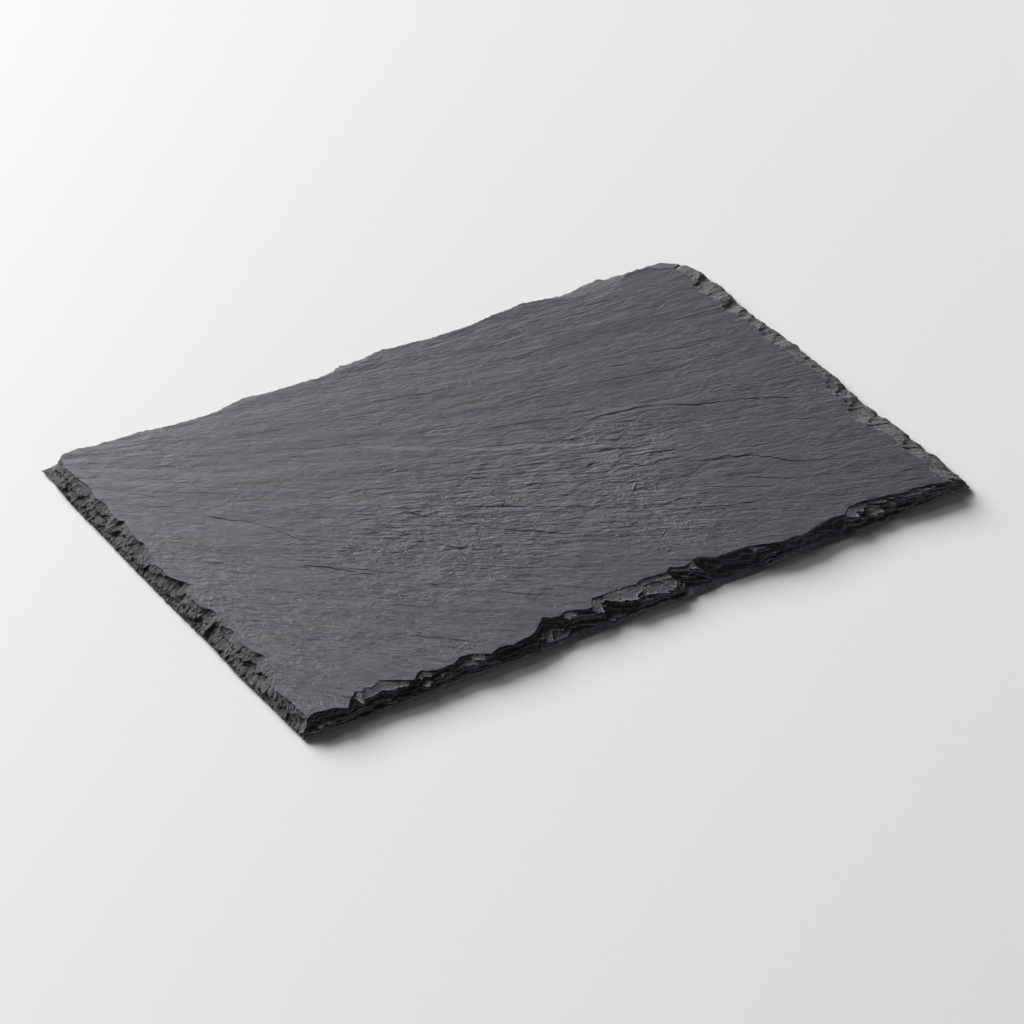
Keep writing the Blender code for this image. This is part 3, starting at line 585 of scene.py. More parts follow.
def rivenRelief(x, y):
    # cleavage left by splitting: thin layers that end in long low steps, and soft
    # short ridges along the grain
    noise, size = riven["ridges"]
    total = size * ruggedness(x, y) * evenGrain(x, y, *noise) + ledgeRelief(x, y)
    for name in ("steps", "scales"):
        noise, size, (count, sharp, back) = riven[name]
        wave = count * evenGrain(x, y, *noise)
        total = total + size * (terraces(wave, sharp) - back * wave)
    return total


def topHeight(x, y):
    # the thickness, a share of the slow waves and the riven relief
    calm = easeBetween(slabSize["thickness"], broadHeight(x, y), grain["waveShare"])
    return calm + rivenRelief(x, y)


def chipPart(x, y):
    # how far each place lies through its own chip, 0 after the raised edge and 1 at the
    # next one, and the chip's relative size
    inset = np.clip(slabSize["halfLength"] + 2.0 - x, 0.0, 30.0)
    foot = y + chips["lean"] * inset + chips["wander"] * latticeNoise(x / 4.0, y / 4.0, 3)
    edges = np.array(chips["edges"])
    after = np.clip(np.searchsorted(edges, foot), 1, len(edges) - 1)
    gap = edges[after] - edges[after - 1]
    size = np.clip(gap / 12.0, 0.45, 1.2) * (0.62 + 0.8 * latticeNoise(after * 0.73, 0.5, 31))
    return np.clip((foot - edges[after - 1]) / gap, 0.0, 1.0), size


def sideSections(index):
    # plan points of the outline and the rim, and the lines between them, for one side
    lists, corner, axis, sign, half = sides[index]
    count = slabSize["columns"][index]
    share = np.arange(count) / count
    following = (corner + 1) % 4
    start, end = outlineCorners[corner][axis], outlineCorners[following][axis]
    outlineAlong = easeBetween(start, end, share)
    rimStart, rimEnd = rimCorners[corner][axis], rimCorners[following][axis]
    rimAlong = easeBetween(rimStart, rimEnd, share)
    fade = np.clip(np.minimum(share, 1 - share) * abs(end - start) / 2.5, 0, 1)   # 0 at the corners
    track = outlineAlong + 1000.0 * index

    def jag(seed, amount=1.0):
        return layers["rimJag"] * amount * fade * raggedLine(track, seed, "rim", seed)

    insets = [half - abs(rimCorners[c][1 - axis]) for c in (corner, following)]
    ends = sorted(((rimStart, insets[0]), (rimEnd, insets[1])))
    rimInset = readList((ends[0],) + tuple(lists["rim"]) + (ends[1],), rimAlong) + jag(11)
    outlineOut = readList(lists["outline"], outlineAlong)
    for order, (length, bite) in enumerate(ragged["nicks"]):
        outlineOut = outlineOut - bite * fade * np.abs(latticeNoise(track / length, 0.5, 71 + order))
    if index == rightSide:
        part, size = chipPart(half - rimInset, rimAlong)
        rimInset = rimInset + chips["rimBite"] * size * fade * (part - 0.4)
        part, size = chipPart(np.full(count, half), outlineAlong)
        outlineOut = outlineOut - chips["outlineBite"] * size * fade * part
    rimInset = np.maximum(rimInset, 0.5 - outlineOut)

    turned = slice(None, None, 1 - 2 * axis)     # along comes first on front and far side
    outline = np.column_stack((outlineAlong, sign * (half + outlineOut))[turned])
    rim = np.column_stack((rimAlong, sign * (half - rimInset))[turned])
    depth = rimInset + outlineOut

    along = easeBetween(outlineAlong, rimAlong, 0.6)
    ledge = readList(lists["ledge"], along) + outlineOut + jag(29, 1.1)
    ledgeHeight = readList(lists["ledge"], along, 2)
    along = easeBetween(outlineAlong, rimAlong, 0.1)
    wall = readList(lists["wall"], along) + outlineOut + jag(53, 0.5)
    wallHeight = readList(lists["wall"], along, 2) + 0.3 * fade * latticeNoise(track / 3.6, 0.5, 61)
    ledge = np.clip(ledge / depth, 0.06, 0.93)
    wall = np.minimum(np.clip(wall / depth, 0.03, 0.35), ledge - 0.03)
    return {"outline": outline, "rim": rim, "depth": depth, "track": track, "fade": fade,
            "smooth": inSpans(rimAlong, lists["smooth"], 2.5),
            "over": inSpans(rimAlong, lists["overhang"], 3.0),
            "ledge": ledge, "ledgeHeight": ledgeHeight, "wall": wall,
            "wallHeight": np.maximum(wallHeight, 1.25), "side": np.full(count, index)}


def blendCorners(cut):
    # near a corner the cross-section turns gradually into the corner's own
    for corner, own in zip(outlineCorners, cornerSections):
        distance = np.hypot(*(cut["outline"] - corner).T)
        nearness = np.exp(-(distance / cornerReach) ** 2)
        for name, value in zip(("wall", "wallHeight", "ledge", "ledgeHeight"), own):
            cut[name] = easeBetween(cut[name], value, nearness)


def climbShare(cut, height):
    # how far in from the outline (0) towards the rim (1) the break reaches a height: up
    # the wall, over the lower tread, up the ledge's step and over the upper tread
    wall, ledge, top = cut["wall"], cut["ledge"], cut["ledgeHeight"]
    onWall = np.clip((height - cut["lift"]) / (cut["wallHeight"] - cut["lift"]), 0, 1)
    onTread = np.clip((height - cut["wallHeight"]) / (cut["ledgeFoot"] - cut["wallHeight"]), 0, 1)
    onTop = np.clip((height - top) / (cut["rimHeight"] - top), 0, 1)
    return wall * onWall ** 1.6 + (ledge - wall) * onTread + (1 - ledge) * onTop


def layerLines(cut):
    # heights and shares of each layer's broken line, the lowest first; a line never
    # comes out over the one below it
    track, depth, fade = cut["track"], cut["depth"], cut["fade"]
    onFar = cut["side"] == farSide
    heights = []
    for order, below in enumerate(layers["below"]):
        drift = waveSum(track, order + 0.5, ragged["drift"], 101)
        drift = drift * layers["wander"] * min(1.0, 0.6 * below)
        heights.append(np.maximum(cut["rimHeight"] - below + drift, cut["lift"] + 0.35 + 0.3 * order))
    heights = np.array(heights + [cut["rimHeight"]])
    downward = range(len(heights) - 2, -1, -1)
    for order in downward:
        heights[order] = np.minimum(heights[order], heights[order + 1] - layers["thinnest"])
    shares = np.array([climbShare(cut, height) for height in heights])
    shares[-1] = 1.0
    for order in range(1, len(heights) - 1):
        flush = np.clip(3.5 * latticeNoise(track / 8.0, order + 0.5, 120) + layers["flush"][order], 0, 1)
        room = np.maximum(shares[order] - shares[order - 1] - 0.08 / depth, 0)
        shares[order] -= flush * ~onFar * fade * room
    for order in downward:
        room = (shares[order + 1] - shares[order]) * depth
        length, reach = layers["tooth"]
        turn = track / length + 0.37 * order + 0.9 * latticeNoise(track / 11.0, order + 0.5, 121)
        tooth = (0.5 - turn + np.floor(turn)) * np.where(onFar, -layers["farTooth"], 1.0)
        reach = np.minimum(reach, 0.9 * room / np.where(onFar, layers["farTooth"], 1.0))
        jag = easeBetween(*layers["jag"], np.clip(room / 2.0, 0, 1))
        out = reach * tooth + jag * raggedLine(track, order + 0.5, "layer", 110)
        shares[order] = np.minimum(shares[order] + fade * out / depth, shares[order + 1] - 0.05 / depth)
    floor = np.linspace(0.004, 0.03, len(heights))[:, None]
    return heights, np.maximum(shares, floor)


def wholeEdge():
    # the four sides' cross-sections joined, with the heights that hang on the top face
    parts = [sideSections(index) for index in range(4)]
    cut = {name: np.concatenate([part[name] for part in parts]) for name in parts[0]}
    blendCorners(cut)
    count = len(cut["track"])
    turn = np.arange(count) / count * math.tau
    lift = slabSize["lift"] + 0.22 * np.sin(3 * turn + 0.9) + 0.12 * np.sin(11 * turn)
    cut["lift"] = lift + 0.12 * latticeNoise(cut["track"] / 2.6, 0.5, 7)
    cut["rimHeight"] = topHeight(*cut["rim"].T)
    cut["ledgeHeight"] = np.minimum(cut["ledgeHeight"], cut["rimHeight"] - 0.5)
    drop = 0.8 + 0.6 * latticeNoise(cut["track"] / 11.0, 0.5, 19)
    cut["ledgeFoot"] = cut["ledgeHeight"] - layers["ledgeDrop"] * drop
    cut["wallHeight"] = np.minimum(cut["wallHeight"], cut["ledgeFoot"] - 0.15)
    hollowed = cut["smooth"] * (cut["side"] != farSide)
    cut["keep"] = 1 - (1 - layers["smoothShare"]) * hollowed
    cut["keep"] *= 1 - (1 - ofSide(cut, "kept")) * cut["fade"]
    return cut


def ofSide(cut, name):
    # one of the values that differ from side to side, for each cross-section
    return np.array(layers[name])[cut["side"]]


def brokenRows(cut):
    # share of the way in, height, crumbling and freshness of each row from the foot of
    # the wall to the rim: for each layer its foot, its broken line and its tread
    heights, lines = layerLines(cut)
    under = easeBetween(layers["undercut"], layers["overhang"], cut["over"]) * cut["keep"] / cut["depth"]
    rows = []

    def row(*values):
        rows.append([np.broadcast_to(value, under.shape) for value in values])

    for part in (0.0, 0.35, 0.7):
        row(lines[0] * part ** 1.5, easeBetween(cut["lift"], heights[0], part), layers["rough"][0], 1.0)
    last = len(heights) - 1
    for order in range(last + 1):
        rough = easeBetween(*layers["rough"], order / last)
        if order:
            foot = easeBetween(heights[order - 1], heights[order], layers["slope"])
            row(lines[order] + under * (1 if order < last else 0.5), foot, rough, 0.4)
        row(lines[order], heights[order], rough, 0.5)
        if order < last:
            for part in (0.3, 0.68):
                climb = layers["slope"] * part - layers["sag"] * math.sin(math.pi * part)
                row(easeBetween(lines[order], lines[order + 1] + under, part),
                    easeBetween(heights[order], heights[order + 1], climb),
                    rough, easeBetween(0.38, 0.36, order / last))
    return np.array(rows).swapaxes(0, 1)


def edgeBand():
    # the whole broken edge as a grid: one row after another from the underside's margin
    # up to the rim, each row a closed line round the slab
    cut = wholeEdge()
    outline, rim, lift, side, fade = (cut[name] for name in ("outline", "rim", "lift", "side", "fade"))
    onRight = (side == rightSide) * fade
    share, height, rough, fresh = brokenRows(cut)

    # a smooth scar is one hollow sweep from the rim to the foot
    within = np.clip(share, 0, 1)
    sweep = easeBetween(within ** (1.25 + 0.5 * cut["smooth"]), within ** 0.5, onRight)
    hollow = easeBetween(lift, cut["rimHeight"] - 0.35 * (1 - onRight) * (share < 0.999), sweep)
    height = easeBetween(hollow, height, cut["keep"])
    plan = outline + share[..., None] * (rim - outline)

    # shell-shaped chips of the right side
    part, size = chipPart(plan[..., 0], plan[..., 1])
    taken = chips["depth"] * size * (0.3 * np.sin(math.pi * part ** 1.6) + 0.8 * part)
    taken = taken * np.clip((height - 0.5) / 1.6, 0, 1) * np.clip((1 - share) / 0.25, 0, 1)
    height = height - taken * onRight
    grid = crumble(np.dstack((plan, height)), rough, cut)

    halves = np.array((slabSize["halfLength"], slabSize["halfWidth"]))
    middle = 1 - slabSize["undersideMargin"] / halves
    tuck = 1 - slabSize["tuck"] / halves
    margin = ((outline * middle, 0 * lift), (outline * (middle + tuck) / 2, lift * 0.3),
              (grid[0, :, :2] * tuck, lift * 0.8))
    grid = np.concatenate((np.array([np.column_stack(row) for row in margin]), grid))

    # the left side and the foot of the wall are crumbly, treads elsewhere are riven
    fresh = np.maximum(fresh, 0.9 * (side == leftSide) * fade)
    fresh[-1] = 0.0
    foot = np.outer((0.1, 0.6, 0.6), np.ones(len(side)))
    fresh = np.concatenate((foot, fresh))
    scar = cut["smooth"] * (side == frontSide) * (fresh > 0.01)
    # paler colour, partly weathered stone and partly a painted sheen on the sides facing the light
    paleAndSheen = ofSide(cut, "paleAndSheen") * (fresh > 0.01)
    fresh[3:-1] = np.maximum(fresh[3:-1], 0.42 * onRight)
    # painted light and shade: the broken stone's colour is scaled by side, walls by one factor and treads
    # by another, fading out at the corners
    steep = np.clip((fresh - 0.38) / 0.02, 0, 1)
    paintedSideShading = (easeBetween(ofSide(cut, "paintedTreadShading"), ofSide(cut, "paintedSideShading"), steep) - 1) * fade
    return grid, {"broken": fresh, "scar": scar, "paleAndSheen": paleAndSheen, "paintedSideShading": paintedSideShading}


def crumble(grid, rough, cut):
    # moves each point out and up, or in and down, by chip facets and by slaty grain
    outward = cut["outline"] - cut["rim"]
    outward = outward / np.linalg.norm(outward, axis=1, keepdims=True)
    way = np.column_stack((0.75 * outward, np.full(len(outward), 0.66)))
    steps = np.linalg.norm(np.diff(grid, axis=0), axis=2)
    climb = np.concatenate((np.zeros((1, grid.shape[1])), np.cumsum(steps, axis=0)))
    track = np.broadcast_to(cut["track"], climb.shape)
    calm = np.where(cut["side"] == rightSide, 0.9, 1 - 0.85 * cut["smooth"])
    big = chipFacets(track / 2.7, climb / 1.7, 5)
    small = chipFacets(track / 1.25 + 40.0, climb / 0.95, 9)
    coarse = ofSide(cut, "coarse")
    push = rough * calm * ofSide(cut, "crumble") * (coarse * big + (1.05 - coarse) * small)
    push = push + 0.10 * latticeNoise(track / 6.0, climb / 3.0, 33)
    grainy = 0.12 * calm * latticeNoise(track / 0.8, climb / 0.6, 51)
    push = push + grainy * np.clip(rough * 4 - 0.3, 0, 1) * (1 + (cut["side"] == leftSide))
    push = push + 0.08 * evenGrain(grid[..., 0], grid[..., 1], 2.4, 12.0, 77, 2, 0.6)
    push[:-1] *= 0.3 + 0.7 * cut["fade"]
    push[-1] = 0.0
    return grid + way * push[..., None]


def insideLine(points, line, margin):
    # even-odd rule: a point is inside a closed line if a ray from it crosses an odd
    # number of its stretches; points too near the line are dropped as well
    ahead = np.roll(line, -1, axis=0)
    inside = np.zeros(len(points), bool)
    near = np.zeros(len(points), bool)
    for block in np.array_split(np.arange(len(points)), 40):
        x = points[block, 0][:, None]
        y = points[block, 1][:, None]
        rise = ahead[:, 1] - line[:, 1]
        crossing = (line[:, 1] > y) != (ahead[:, 1] > y)
        reach = line[:, 0] + (y - line[:, 1]) / np.where(rise == 0, 1, rise) * (ahead[:, 0] - line[:, 0])
        inside[block] = (crossing & (x < reach)).sum(axis=1) % 2 == 1
        gap = (x - line[:, 0]) ** 2 + (y - line[:, 1]) ** 2
        near[block] = gap.min(axis=1) < margin ** 2
    return points[inside & ~near]


def ledgePoints():
    # a row of points on either side of each ledge's line
    rows = []
    for line, side, height in ledgesOnTop:
        run = ledgeRun(height)[:, None]
        rows += [line + run * side, line - run * side]
    return np.concatenate(rows)


def apartFrom(points, others, margin):
    # true for the points that keep the margin to all others, found cell by cell
    cell = 2.0
    columns = 200
    keys = (np.floor(others / cell).astype(int) + 100) @ np.array((1, columns))
    order = np.argsort(keys)
    keys, sortedOthers = keys[order], others[order]
    own = np.floor(points / cell).astype(int) + 100
    nearest = np.full(len(points), np.inf)
    for stepX in (-1, 0, 1):
        for stepY in (-1, 0, 1):
            wanted = (own + (stepX, stepY)) @ np.array((1, columns))
            first = np.searchsorted(keys, wanted)
            last = np.searchsorted(keys, wanted, side="right")
            for turn in range(int((last - first).max())):
                index = np.minimum(first + turn, len(keys) - 1)
                gap = np.hypot(*(points - sortedOthers[index]).T)
                nearest = np.where(first + turn < last, np.minimum(nearest, gap), nearest)
    return nearest > margin


def grainLattice(acrossStep, alongStep):
    # points in rows that follow the grain lines, with an extra set between the rows in
    # the half of the slab that lies further from the fan's centre
    box = (155, 106)
    across, along = fanCoordinates(*np.meshgrid(np.linspace(-box[0], box[0], 60),
                                                np.linspace(-box[1], box[1], 40)))
    rows = np.arange(math.floor(across.min() / acrossStep), math.ceil(across.max() / acrossStep) + 1)
    steps = np.arange(math.floor(along.min() / alongStep), math.ceil(along.max() / alongStep) + 1)
    row, step = np.meshgrid(rows, steps)
    sets = []
    for offset, nearest in ((0.0, 0.0), (0.5, 1.0)):
        x, y = fanPoint((row + offset) * acrossStep, (step + 0.5 * (row % 2) + offset * 0.5) * alongStep)
        kept = fanReach(x, y) >= nearest
        sets.append(np.column_stack((x[kept], y[kept])))
    points = np.concatenate(sets)
    return points[(np.abs(points) < box).all(axis=1)]


def fillLine(line, points, firstIndex, lineIndex):
    # triangles between a closed line and the points inside it
    joined = np.concatenate((line, points))
    _, _, faces, _, _, _ = delaunay_2d_cdt(joined.tolist(), [], [list(range(len(line)))], 1, 1e-7)
    faces = np.array(faces)
    index = np.concatenate((lineIndex, firstIndex + np.arange(len(points))))
    return index[faces]


def slateMesh():
    # one closed skin: edge grid, top face and underside
    grid, marks = edgeBand()
    rows, count = grid.shape[:2]
    index = np.arange(rows * count).reshape(rows, count)
    after = np.roll(index, -1, axis=1)
    strips = np.stack((index[:-1], after[:-1], after[1:], index[1:]), axis=-1).reshape(-1, 4)

    rim = grid[-1, :, :2]
    lattice = insideLine(grainLattice(*slabSize["topSteps"]), rim, 0.55)
    breaksOnTop = ledgePoints()
    lattice = lattice[apartFrom(lattice, breaksOnTop, 0.45)]
    topPoints = np.concatenate((lattice, insideLine(breaksOnTop, rim, 0.4)))
    topZ = topHeight(topPoints[:, 0], topPoints[:, 1])
    topFaces = fillLine(rim, topPoints, rows * count, index[-1])
    print("top face:", len(topPoints), "points,", len(breaksOnTop), "of them along ledges")

    inner = grid[0, :, :2]
    spacing = slabSize["undersideStep"]
    stepX, stepY = np.meshgrid(np.arange(-150, 151, spacing), np.arange(-102, 103, spacing))
    lowPoints = insideLine(np.column_stack((stepX.ravel(), stepY.ravel())), inner, spacing / 2)
    lowGrain = evenGrain(lowPoints[:, 0], -lowPoints[:, 1], 16.0, 60.0, 91, 2)
    lowZ = np.maximum(slabSize["undersideRelief"] * (1 + lowGrain), 0.0)
    lowFaces = fillLine(inner, lowPoints, rows * count + len(topPoints), index[0])[:, ::-1]

    points = np.concatenate((grid.reshape(-1, 3), np.column_stack((topPoints, topZ)),
                             np.column_stack((lowPoints, lowZ))))
    extra = np.zeros(len(topPoints) + len(lowPoints))
    marks = {name: np.concatenate((mark.ravel(), extra)) for name, mark in marks.items()}
    marks["rugged"] = ruggedness(points[:, 0], points[:, 1])
    marks["lipHighlight"] = paintedLipHighlight(points[:, 0], points[:, 1])
    faces = strips.tolist() + topFaces.tolist() + lowFaces.tolist()
    return points, faces, marks


def markSharp(mesh, broken):
    # an edge is sharp where its two faces turn by more than a limit, which is small on
    # the riven face, where only the thin ledges turn at all
    loopEdge = np.zeros(len(mesh.loops), dtype=np.int32)
    mesh.loops.foreach_get("edge_index", loopEdge)
    sizes = np.zeros(len(mesh.polygons), dtype=np.int32)
    mesh.polygons.foreach_get("loop_total", sizes)
    normals = np.zeros(3 * len(mesh.polygons))
    mesh.polygons.foreach_get("normal", normals)
    normals = normals.reshape(-1, 3)
    loopFace = np.repeat(np.arange(len(sizes)), sizes)[np.argsort(loopEdge, kind="stable")].reshape(-1, 2)
    cosine = (normals[loopFace[:, 0]] * normals[loopFace[:, 1]]).sum(axis=1)
    turn = np.degrees(np.arccos(np.clip(cosine, -1, 1)))
    ends = np.zeros(2 * len(mesh.edges), dtype=np.int32)
    mesh.edges.foreach_get("vertices", ends)
    onEdge = broken[ends.reshape(-1, 2)].max(axis=1) > 0.01
    sharp = turn > np.where(onEdge, sharpTurn["edge"], sharpTurn["face"])
    layer = mesh.attributes.get("sharp_edge") or mesh.attributes.new("sharp_edge", "BOOLEAN", "EDGE")
    layer.data.foreach_set("value", sharp)


def slateSlab():
    points, faces, marks = slateMesh()
    shift = np.array((*slabSize["boxCentre"], 0.0))
    mesh = bpy.data.meshes.new("slateStone")
    mesh.from_pydata(((points - shift) * mm).tolist(), [], faces)
    mesh.update()
    loops = np.zeros(len(mesh.loops), dtype=np.int32)
    mesh.loops.foreach_get("vertex_index", loops)
    across, along = fanCoordinates(points[:, 0], points[:, 1])
    uvMap = mesh.uv_layers.new(name="grain")
    uvMap.data.foreach_set("uv", (np.column_stack((along, across))[loops] / grain["mapUnit"]).ravel())
    marks["reach"] = fanReach(points[:, 0], points[:, 1])
    for name, values in marks.items():
        layer = mesh.attributes.new(name, "FLOAT", "POINT")
        layer.data.foreach_set("value", values.astype(np.float32))
    mesh.shade_smooth()
    markSharp(mesh, marks["broken"])
    slab = bpy.data.objects.new("slateStone", mesh)
    bpy.context.scene.collection.objects.link(slab)
    print("slate:", len(points), "points,", sum(len(face) - 2 for face in faces), "triangles")
    return slab


slateFinish = {
    "colour": (0.0575, 0.0560, 0.0775, 1),
    "darker": (0.0255, 0.0244, 0.0352, 1),
    "fresh": (0.1500, 0.1480, 0.1620, 1),       # newly broken stone
    "freshDark": (0.0480, 0.0465, 0.0600, 1),
    # paler colour: partly weathered stone, partly a painted sheen
    "paleAndSheen": (0.1200, 0.1210, 0.1200, 1),
    "scar": (0.0700, 0.0680, 0.0880, 1),
    "fleck": (0.2300, 0.2300, 0.2400, 1),
    "olive": (0.0610, 0.0600, 0.0480, 1),
    # painted highlight colour for the ledge lip
    "lipHighlight": (0.1150, 0.1130, 0.1300, 1),
    "roughness": 0.50,
    "freshRoughness": 0.84,
    "dust": 0.5,             # how far fine dust changes the roughness
    "paleAndSheenShare": 0.55,       # how far these colours cover the broken stone
    "scarShare": 0.60,
    "fleckShare": 0.45,
    "oliveShare": 0.65,
    # heights of the fine relief in millimetres, on the riven face and on the broken edge
    "rivenHeight": {"fibre": 0.34, "strand": 0.62, "flake": 0.15, "grit": 0.14},
    "brokenHeight": {"crumb": 0.70, "lamina": 0.11},
    # shares in the light and dark tone of the riven face
    "tone": {"streak": 3.0, "dash": 4.2, "flake": 1.6, "dust": 3.6},
    # noises along the grain: width and length in millimetres, seed, detail (0 for flat
    # cells), roughness and distortion
    "alongGrain": {
        "fibre": (1.6, 4.4, 1.0, 2.0, 0.6, 0.15),
        "strand": (3.0, 15.0, 7.0, 3.0, 0.62, 0.25),
        "flake": (2.2, 5.6, 31.0, 0.0),
        "streak": (4.0, 40.0, 5.0, 3.0, 0.6),
        "dash": (1.1, 2.6, 17.0, 2.0, 0.7),
        "olive": (5.0, 26.0, 23.0, 2.0, 0.5),
    },
    # the same for the thin layers, with their count and height
    "thinLayers": (((7.0, 42.0, 11.0, 3.0, 0.6), 9.0, 0.09), ((2.8, 13.0, 13.0, 3.0, 0.6), 6.0, 0.075)),
    # noises without grain: scale to the metre (along x, y and z for the stone's thin
    # beds), detail and roughness
    "inStone": {
        "grit": (1500.0, 1.0, 0.6),
        "dust": (1500.0, 2.0, 0.8),
        "speck": (1500.0, 2.0, 0.7),
        "crumb": (950.0, 3.0, 0.68),
        "lamina": ((170.0, 170.0, 1300.0), 3.0, 0.6),
        "fleck": (760.0, 2.0, 0.6),
        "olivePatch": (17.0, 1.0, 0.5),
    },
}


class NodePad:
    # short ways to add and join shader nodes
    def __init__(self, tree):
        self.tree = tree

    def add(self, kind, **settings):
        node = self.tree.nodes.new(kind)
        for name, value in settings.items():
            setattr(node, name, value)
        return node

    def fill(self, socket, value):
        if isinstance(value, bpy.types.NodeSocket):
            self.tree.links.new(value, socket)
        else:
            socket.default_value = value

    def given(self, kind, inputs, **settings):
        # a node with its inputs filled in, by name or by place
        node = self.add(kind, **settings)
        for name, value in inputs.items():
            self.fill(node.inputs[name], value)
        return node.outputs

    def sum(self, kind, *values):
        return self.given("ShaderNodeMath", dict(enumerate(values)), operation=kind)[0]

    def total(self, *terms):
        # value times weight, added up over the terms
        result = 0.0
        for value, weight in terms:
            result = self.sum("MULTIPLY_ADD", value, weight, result)
        return result

    def parts(self, vector):
        return self.given("ShaderNodeSeparateXYZ", {0: vector})

    def noise(self, vector, detail, roughness, distortion=0.0, scale=1.0):
        # from about -0.5 to 0.5
        noise = self.given("ShaderNodeTexNoise", {
            "Vector": vector, "Scale": scale, "Detail": detail, "Roughness": roughness,
            "Distortion": distortion})
        return self.sum("SUBTRACT", noise["Fac"], 0.5)

    def cells(self, vector):
        # a random level from -0.5 to 0.5 for each cell round scattered points
        cells = self.given("ShaderNodeTexVoronoi", {"Vector": vector, "Scale": 1.0})
        return self.sum("SUBTRACT", self.parts(cells["Color"])[0], 0.5)

    def mixColour(self, share, first, second):
        return self.given("ShaderNodeMix", {"Factor": share, 6: first, 7: second}, data_type="RGBA")[2]

    def range(self, value, low, high, toLow=0.0, toHigh=1.0, kind="LINEAR"):
        return self.given("ShaderNodeMapRange", {
            "Value": value, "From Min": low, "From Max": high, "To Min": toLow, "To Max": toHigh},
            interpolation_type=kind)[0]

    def attribute(self, name):
        return self.add("ShaderNodeAttribute", attribute_name=name).outputs["Fac"]


def grainNoise(pad, width, length, seed, detail, roughness=0.5, distortion=0.0):
    # noise stretched along the fan's grain lines and of the same real size all over: two
    # octaves blended by the distance from the fan's centre
    grainMap = pad.parts(pad.add("ShaderNodeUVMap", uv_map="grain").outputs[0])
    octave = pad.sum("LOGARITHM", pad.attribute("reach"), 2.0)
    lower = pad.sum("FLOOR", octave)
    share = pad.sum("SUBTRACT", octave, lower)
    levels = []
    for step in (0.0, 1.0):
        level = pad.sum("ADD", lower, step)
        scale = pad.sum("POWER", 2.0, level)
        place = pad.given("ShaderNodeCombineXYZ", {
            0: pad.sum("MULTIPLY", pad.sum("MULTIPLY", grainMap[0], scale), grain["mapUnit"] / length),
            1: pad.sum("MULTIPLY", pad.sum("MULTIPLY", grainMap[1], scale), grain["mapUnit"] / width),
            2: pad.sum("MULTIPLY", level, 3.7 + seed)})[0]
        levels.append(pad.noise(place, detail, roughness, distortion) if detail else pad.cells(place))
    return pad.total((levels[0], pad.sum("SUBTRACT", 1.0, share)), (levels[1], share))


def stoneNoise(pad, place, scale, detail, roughness):
    # noise in the body of the stone, with a scale of its own for each axis if given three
    if isinstance(scale, float):
        return pad.noise(place, detail, roughness, 0.0, scale)
    stretched = pad.given("ShaderNodeVectorMath", {0: place, 1: scale}, operation="MULTIPLY")[0]
    return pad.noise(stretched, detail, roughness)


def layerSteps(pad):
    # thin layers: noise cut into whole levels with steep steps, less most of its own slope
    steps = 0.0
    for shape, count, height in slateFinish["thinLayers"]:
        wave = pad.sum("MULTIPLY", grainNoise(pad, *shape), count)
        rise = pad.range(pad.sum("FRACT", wave), 0.38, 0.62, kind="SMOOTHSTEP")
        level = pad.total((pad.sum("FLOOR", wave), 1.0), (rise, 1.0), (wave, -0.8))
        steps = pad.sum("MULTIPLY_ADD", level, height, steps)
    return steps


def rivenSlate():
    # riven face: fibres along the grain, thin layer edges and grit as bump; broken
    # edge: crumbly grain and the edges of the stone's layers, with bright and dark specks
    material = bpy.data.materials.new("rivenSlate")
    material.use_nodes = True
    pad = NodePad(material.node_tree)
    shader = material.node_tree.nodes["Principled BSDF"].inputs
    place = pad.add("ShaderNodeTexCoord").outputs["Object"]
    broken = pad.range(pad.attribute("broken"), 0.02, 0.42)
    finish = slateFinish
    noises = {name: grainNoise(pad, *shape) for name, shape in finish["alongGrain"].items()}
    noises.update({name: stoneNoise(pad, place, *shape) for name, shape in finish["inStone"].items()})

    def weighed(name):
        return pad.total(*((noises[noise], weight) for noise, weight in finish[name].items()))

    riven = pad.sum("ADD", weighed("rivenHeight"), layerSteps(pad))
    riven = pad.sum("MULTIPLY", riven, pad.attribute("rugged"))
    height = pad.total((riven, pad.sum("SUBTRACT", 1.0, broken)), (weighed("brokenHeight"), broken))
    bump = pad.given("ShaderNodeBump", {"Strength": 1.0, "Distance": mm, "Height": height})
    pad.fill(shader["Normal"], bump[0])

    top = pad.mixColour(pad.range(weighed("tone"), -1.0, 1.0), finish["darker"], finish["colour"])
    olive = pad.sum("MULTIPLY", pad.range(noises["olive"], 0.04, 0.18, 0.0, finish["oliveShare"]),
                    pad.range(noises["olivePatch"], -0.05, 0.1))
    top = pad.mixColour(olive, top, finish["olive"])
    # painted highlight along one ledge's lip
    top = pad.mixColour(pad.attribute("lipHighlight"), top, finish["lipHighlight"])
    side = pad.mixColour(pad.range(noises["speck"], -0.06, 0.24), finish["freshDark"], finish["fresh"])
    # the paler colour, partly a painted sheen, and the smooth scars' colour
    for name in ("paleAndSheen", "scar"):
        cover = pad.sum("MULTIPLY", pad.attribute(name), finish[name + "Share"])
        side = pad.mixColour(cover, side, finish[name])
    fleck = pad.range(noises["fleck"], 0.10, 0.20, 0.0, finish["fleckShare"])
    side = pad.mixColour(fleck, side, finish["fleck"])
    # painted light and shade: the broken stone's colour scaled by its per-side factor
    paintedSideShading = pad.sum("ADD", 1.0, pad.attribute("paintedSideShading"))
    side = pad.given("ShaderNodeVectorMath", {0: side, "Scale": paintedSideShading}, operation="SCALE")[0]
    pad.fill(shader["Base Color"], pad.mixColour(broken, top, side))
    sheer = pad.range(broken, 0.0, 1.0, finish["roughness"], finish["freshRoughness"])
    pad.fill(shader["Roughness"], pad.sum("MULTIPLY_ADD", noises["dust"], finish["dust"], sheer))
    return material


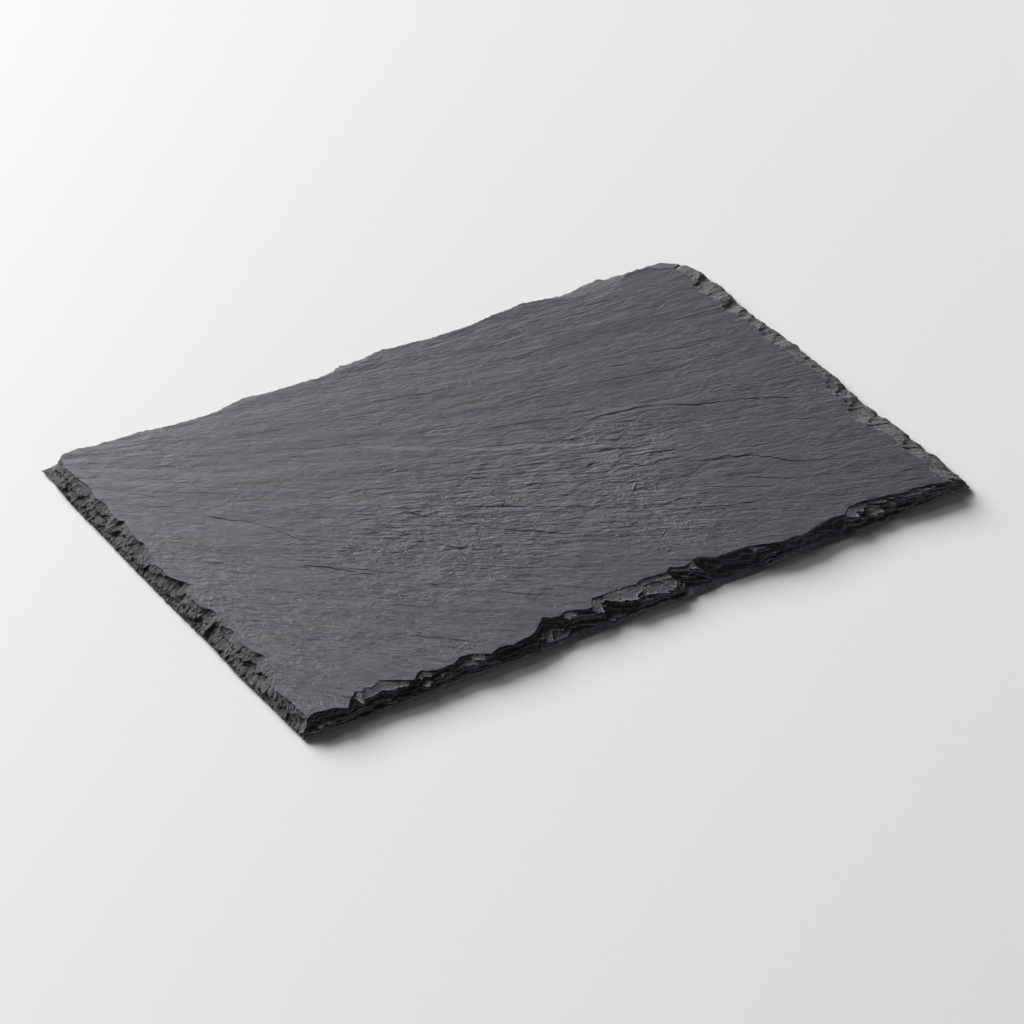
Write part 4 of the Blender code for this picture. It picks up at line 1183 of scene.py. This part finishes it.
stage = {
    "floorColour": (0.80, 0.80, 0.80, 1),
    "floorRoughness": 0.6,
    "floorReach": 4.0,
    "worldColour": (0.97, 0.98, 1.0, 1),
    "worldLight": 0.035,
    "windowPower": 2550.0,
    "windowPlace": (-0.8, 9.4, 3.1),
    "windowSize": (7.0, 3.0),
    "fillPower": 50.0,
    "fillPlace": (1.0, -6.0, 1.0),
    "fillSize": (10.0, 1.6),
    "upperPower": 210.0,
    "upperPlace": (-0.7, 8.0, 5.3),
    "upperSize": (6.0, 3.2),
}


def aimedObject(name, data, place, aim):
    # an object at one place, turned towards another
    thing = bpy.data.objects.new(name, data)
    thing.location = place
    thing.rotation_euler = (Vector(aim) - Vector(place)).to_track_quat("-Z", "Y").to_euler()
    bpy.context.scene.collection.objects.link(thing)
    return thing


def makeStage():
    reach = stage["floorReach"]
    corners = [(reach * x, reach * y, 0) for x, y in ((-1, -1), (1, -1), (1, 1), (-1, 1))]
    floorMesh = bpy.data.meshes.new("floor")
    floorMesh.from_pydata(corners, [], [(0, 1, 2, 3)])
    floor = bpy.data.objects.new("floor", floorMesh)
    bpy.context.scene.collection.objects.link(floor)
    material = bpy.data.materials.new("paleFloor")
    material.use_nodes = True
    shader = material.node_tree.nodes["Principled BSDF"].inputs
    shader["Base Color"].default_value = stage["floorColour"]
    shader["Roughness"].default_value = stage["floorRoughness"]
    floorMesh.materials.append(material)

    world = bpy.data.worlds.new("softRoom")
    world.use_nodes = True
    sky = world.node_tree.nodes["Background"].inputs
    sky["Color"].default_value = stage["worldColour"]
    sky["Strength"].default_value = stage["worldLight"]
    bpy.context.scene.world = world

    for name in ("window", "upper", "fill"):
        light = bpy.data.lights.new(name, "AREA")
        light.shape = "RECTANGLE"
        light.size, light.size_y = stage[name + "Size"]
        light.energy = stage[name + "Power"]
        aimedObject(name, light, stage[name + "Place"], (0, 0, 0))


camera = {
    "place": (-0.75495, -1.19140, 0.95900),
    "aim": (-0.01021, -0.01908, 0.0),
    "lens": 153.6,
}


def makeCamera():
    data = bpy.data.cameras.new("camera")
    data.sensor_width = 36.0
    data.lens = camera["lens"]
    data.clip_end = 50.0
    bpy.context.scene.camera = aimedObject("camera", data, camera["place"], camera["aim"])


bpy.context.scene.view_settings.view_transform = "Standard"
makeCamera()
makeStage()
slab = slateSlab()
slab.data.materials.append(rivenSlate())
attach(slab, "root")
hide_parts("slate_slab")
print("slab in place")
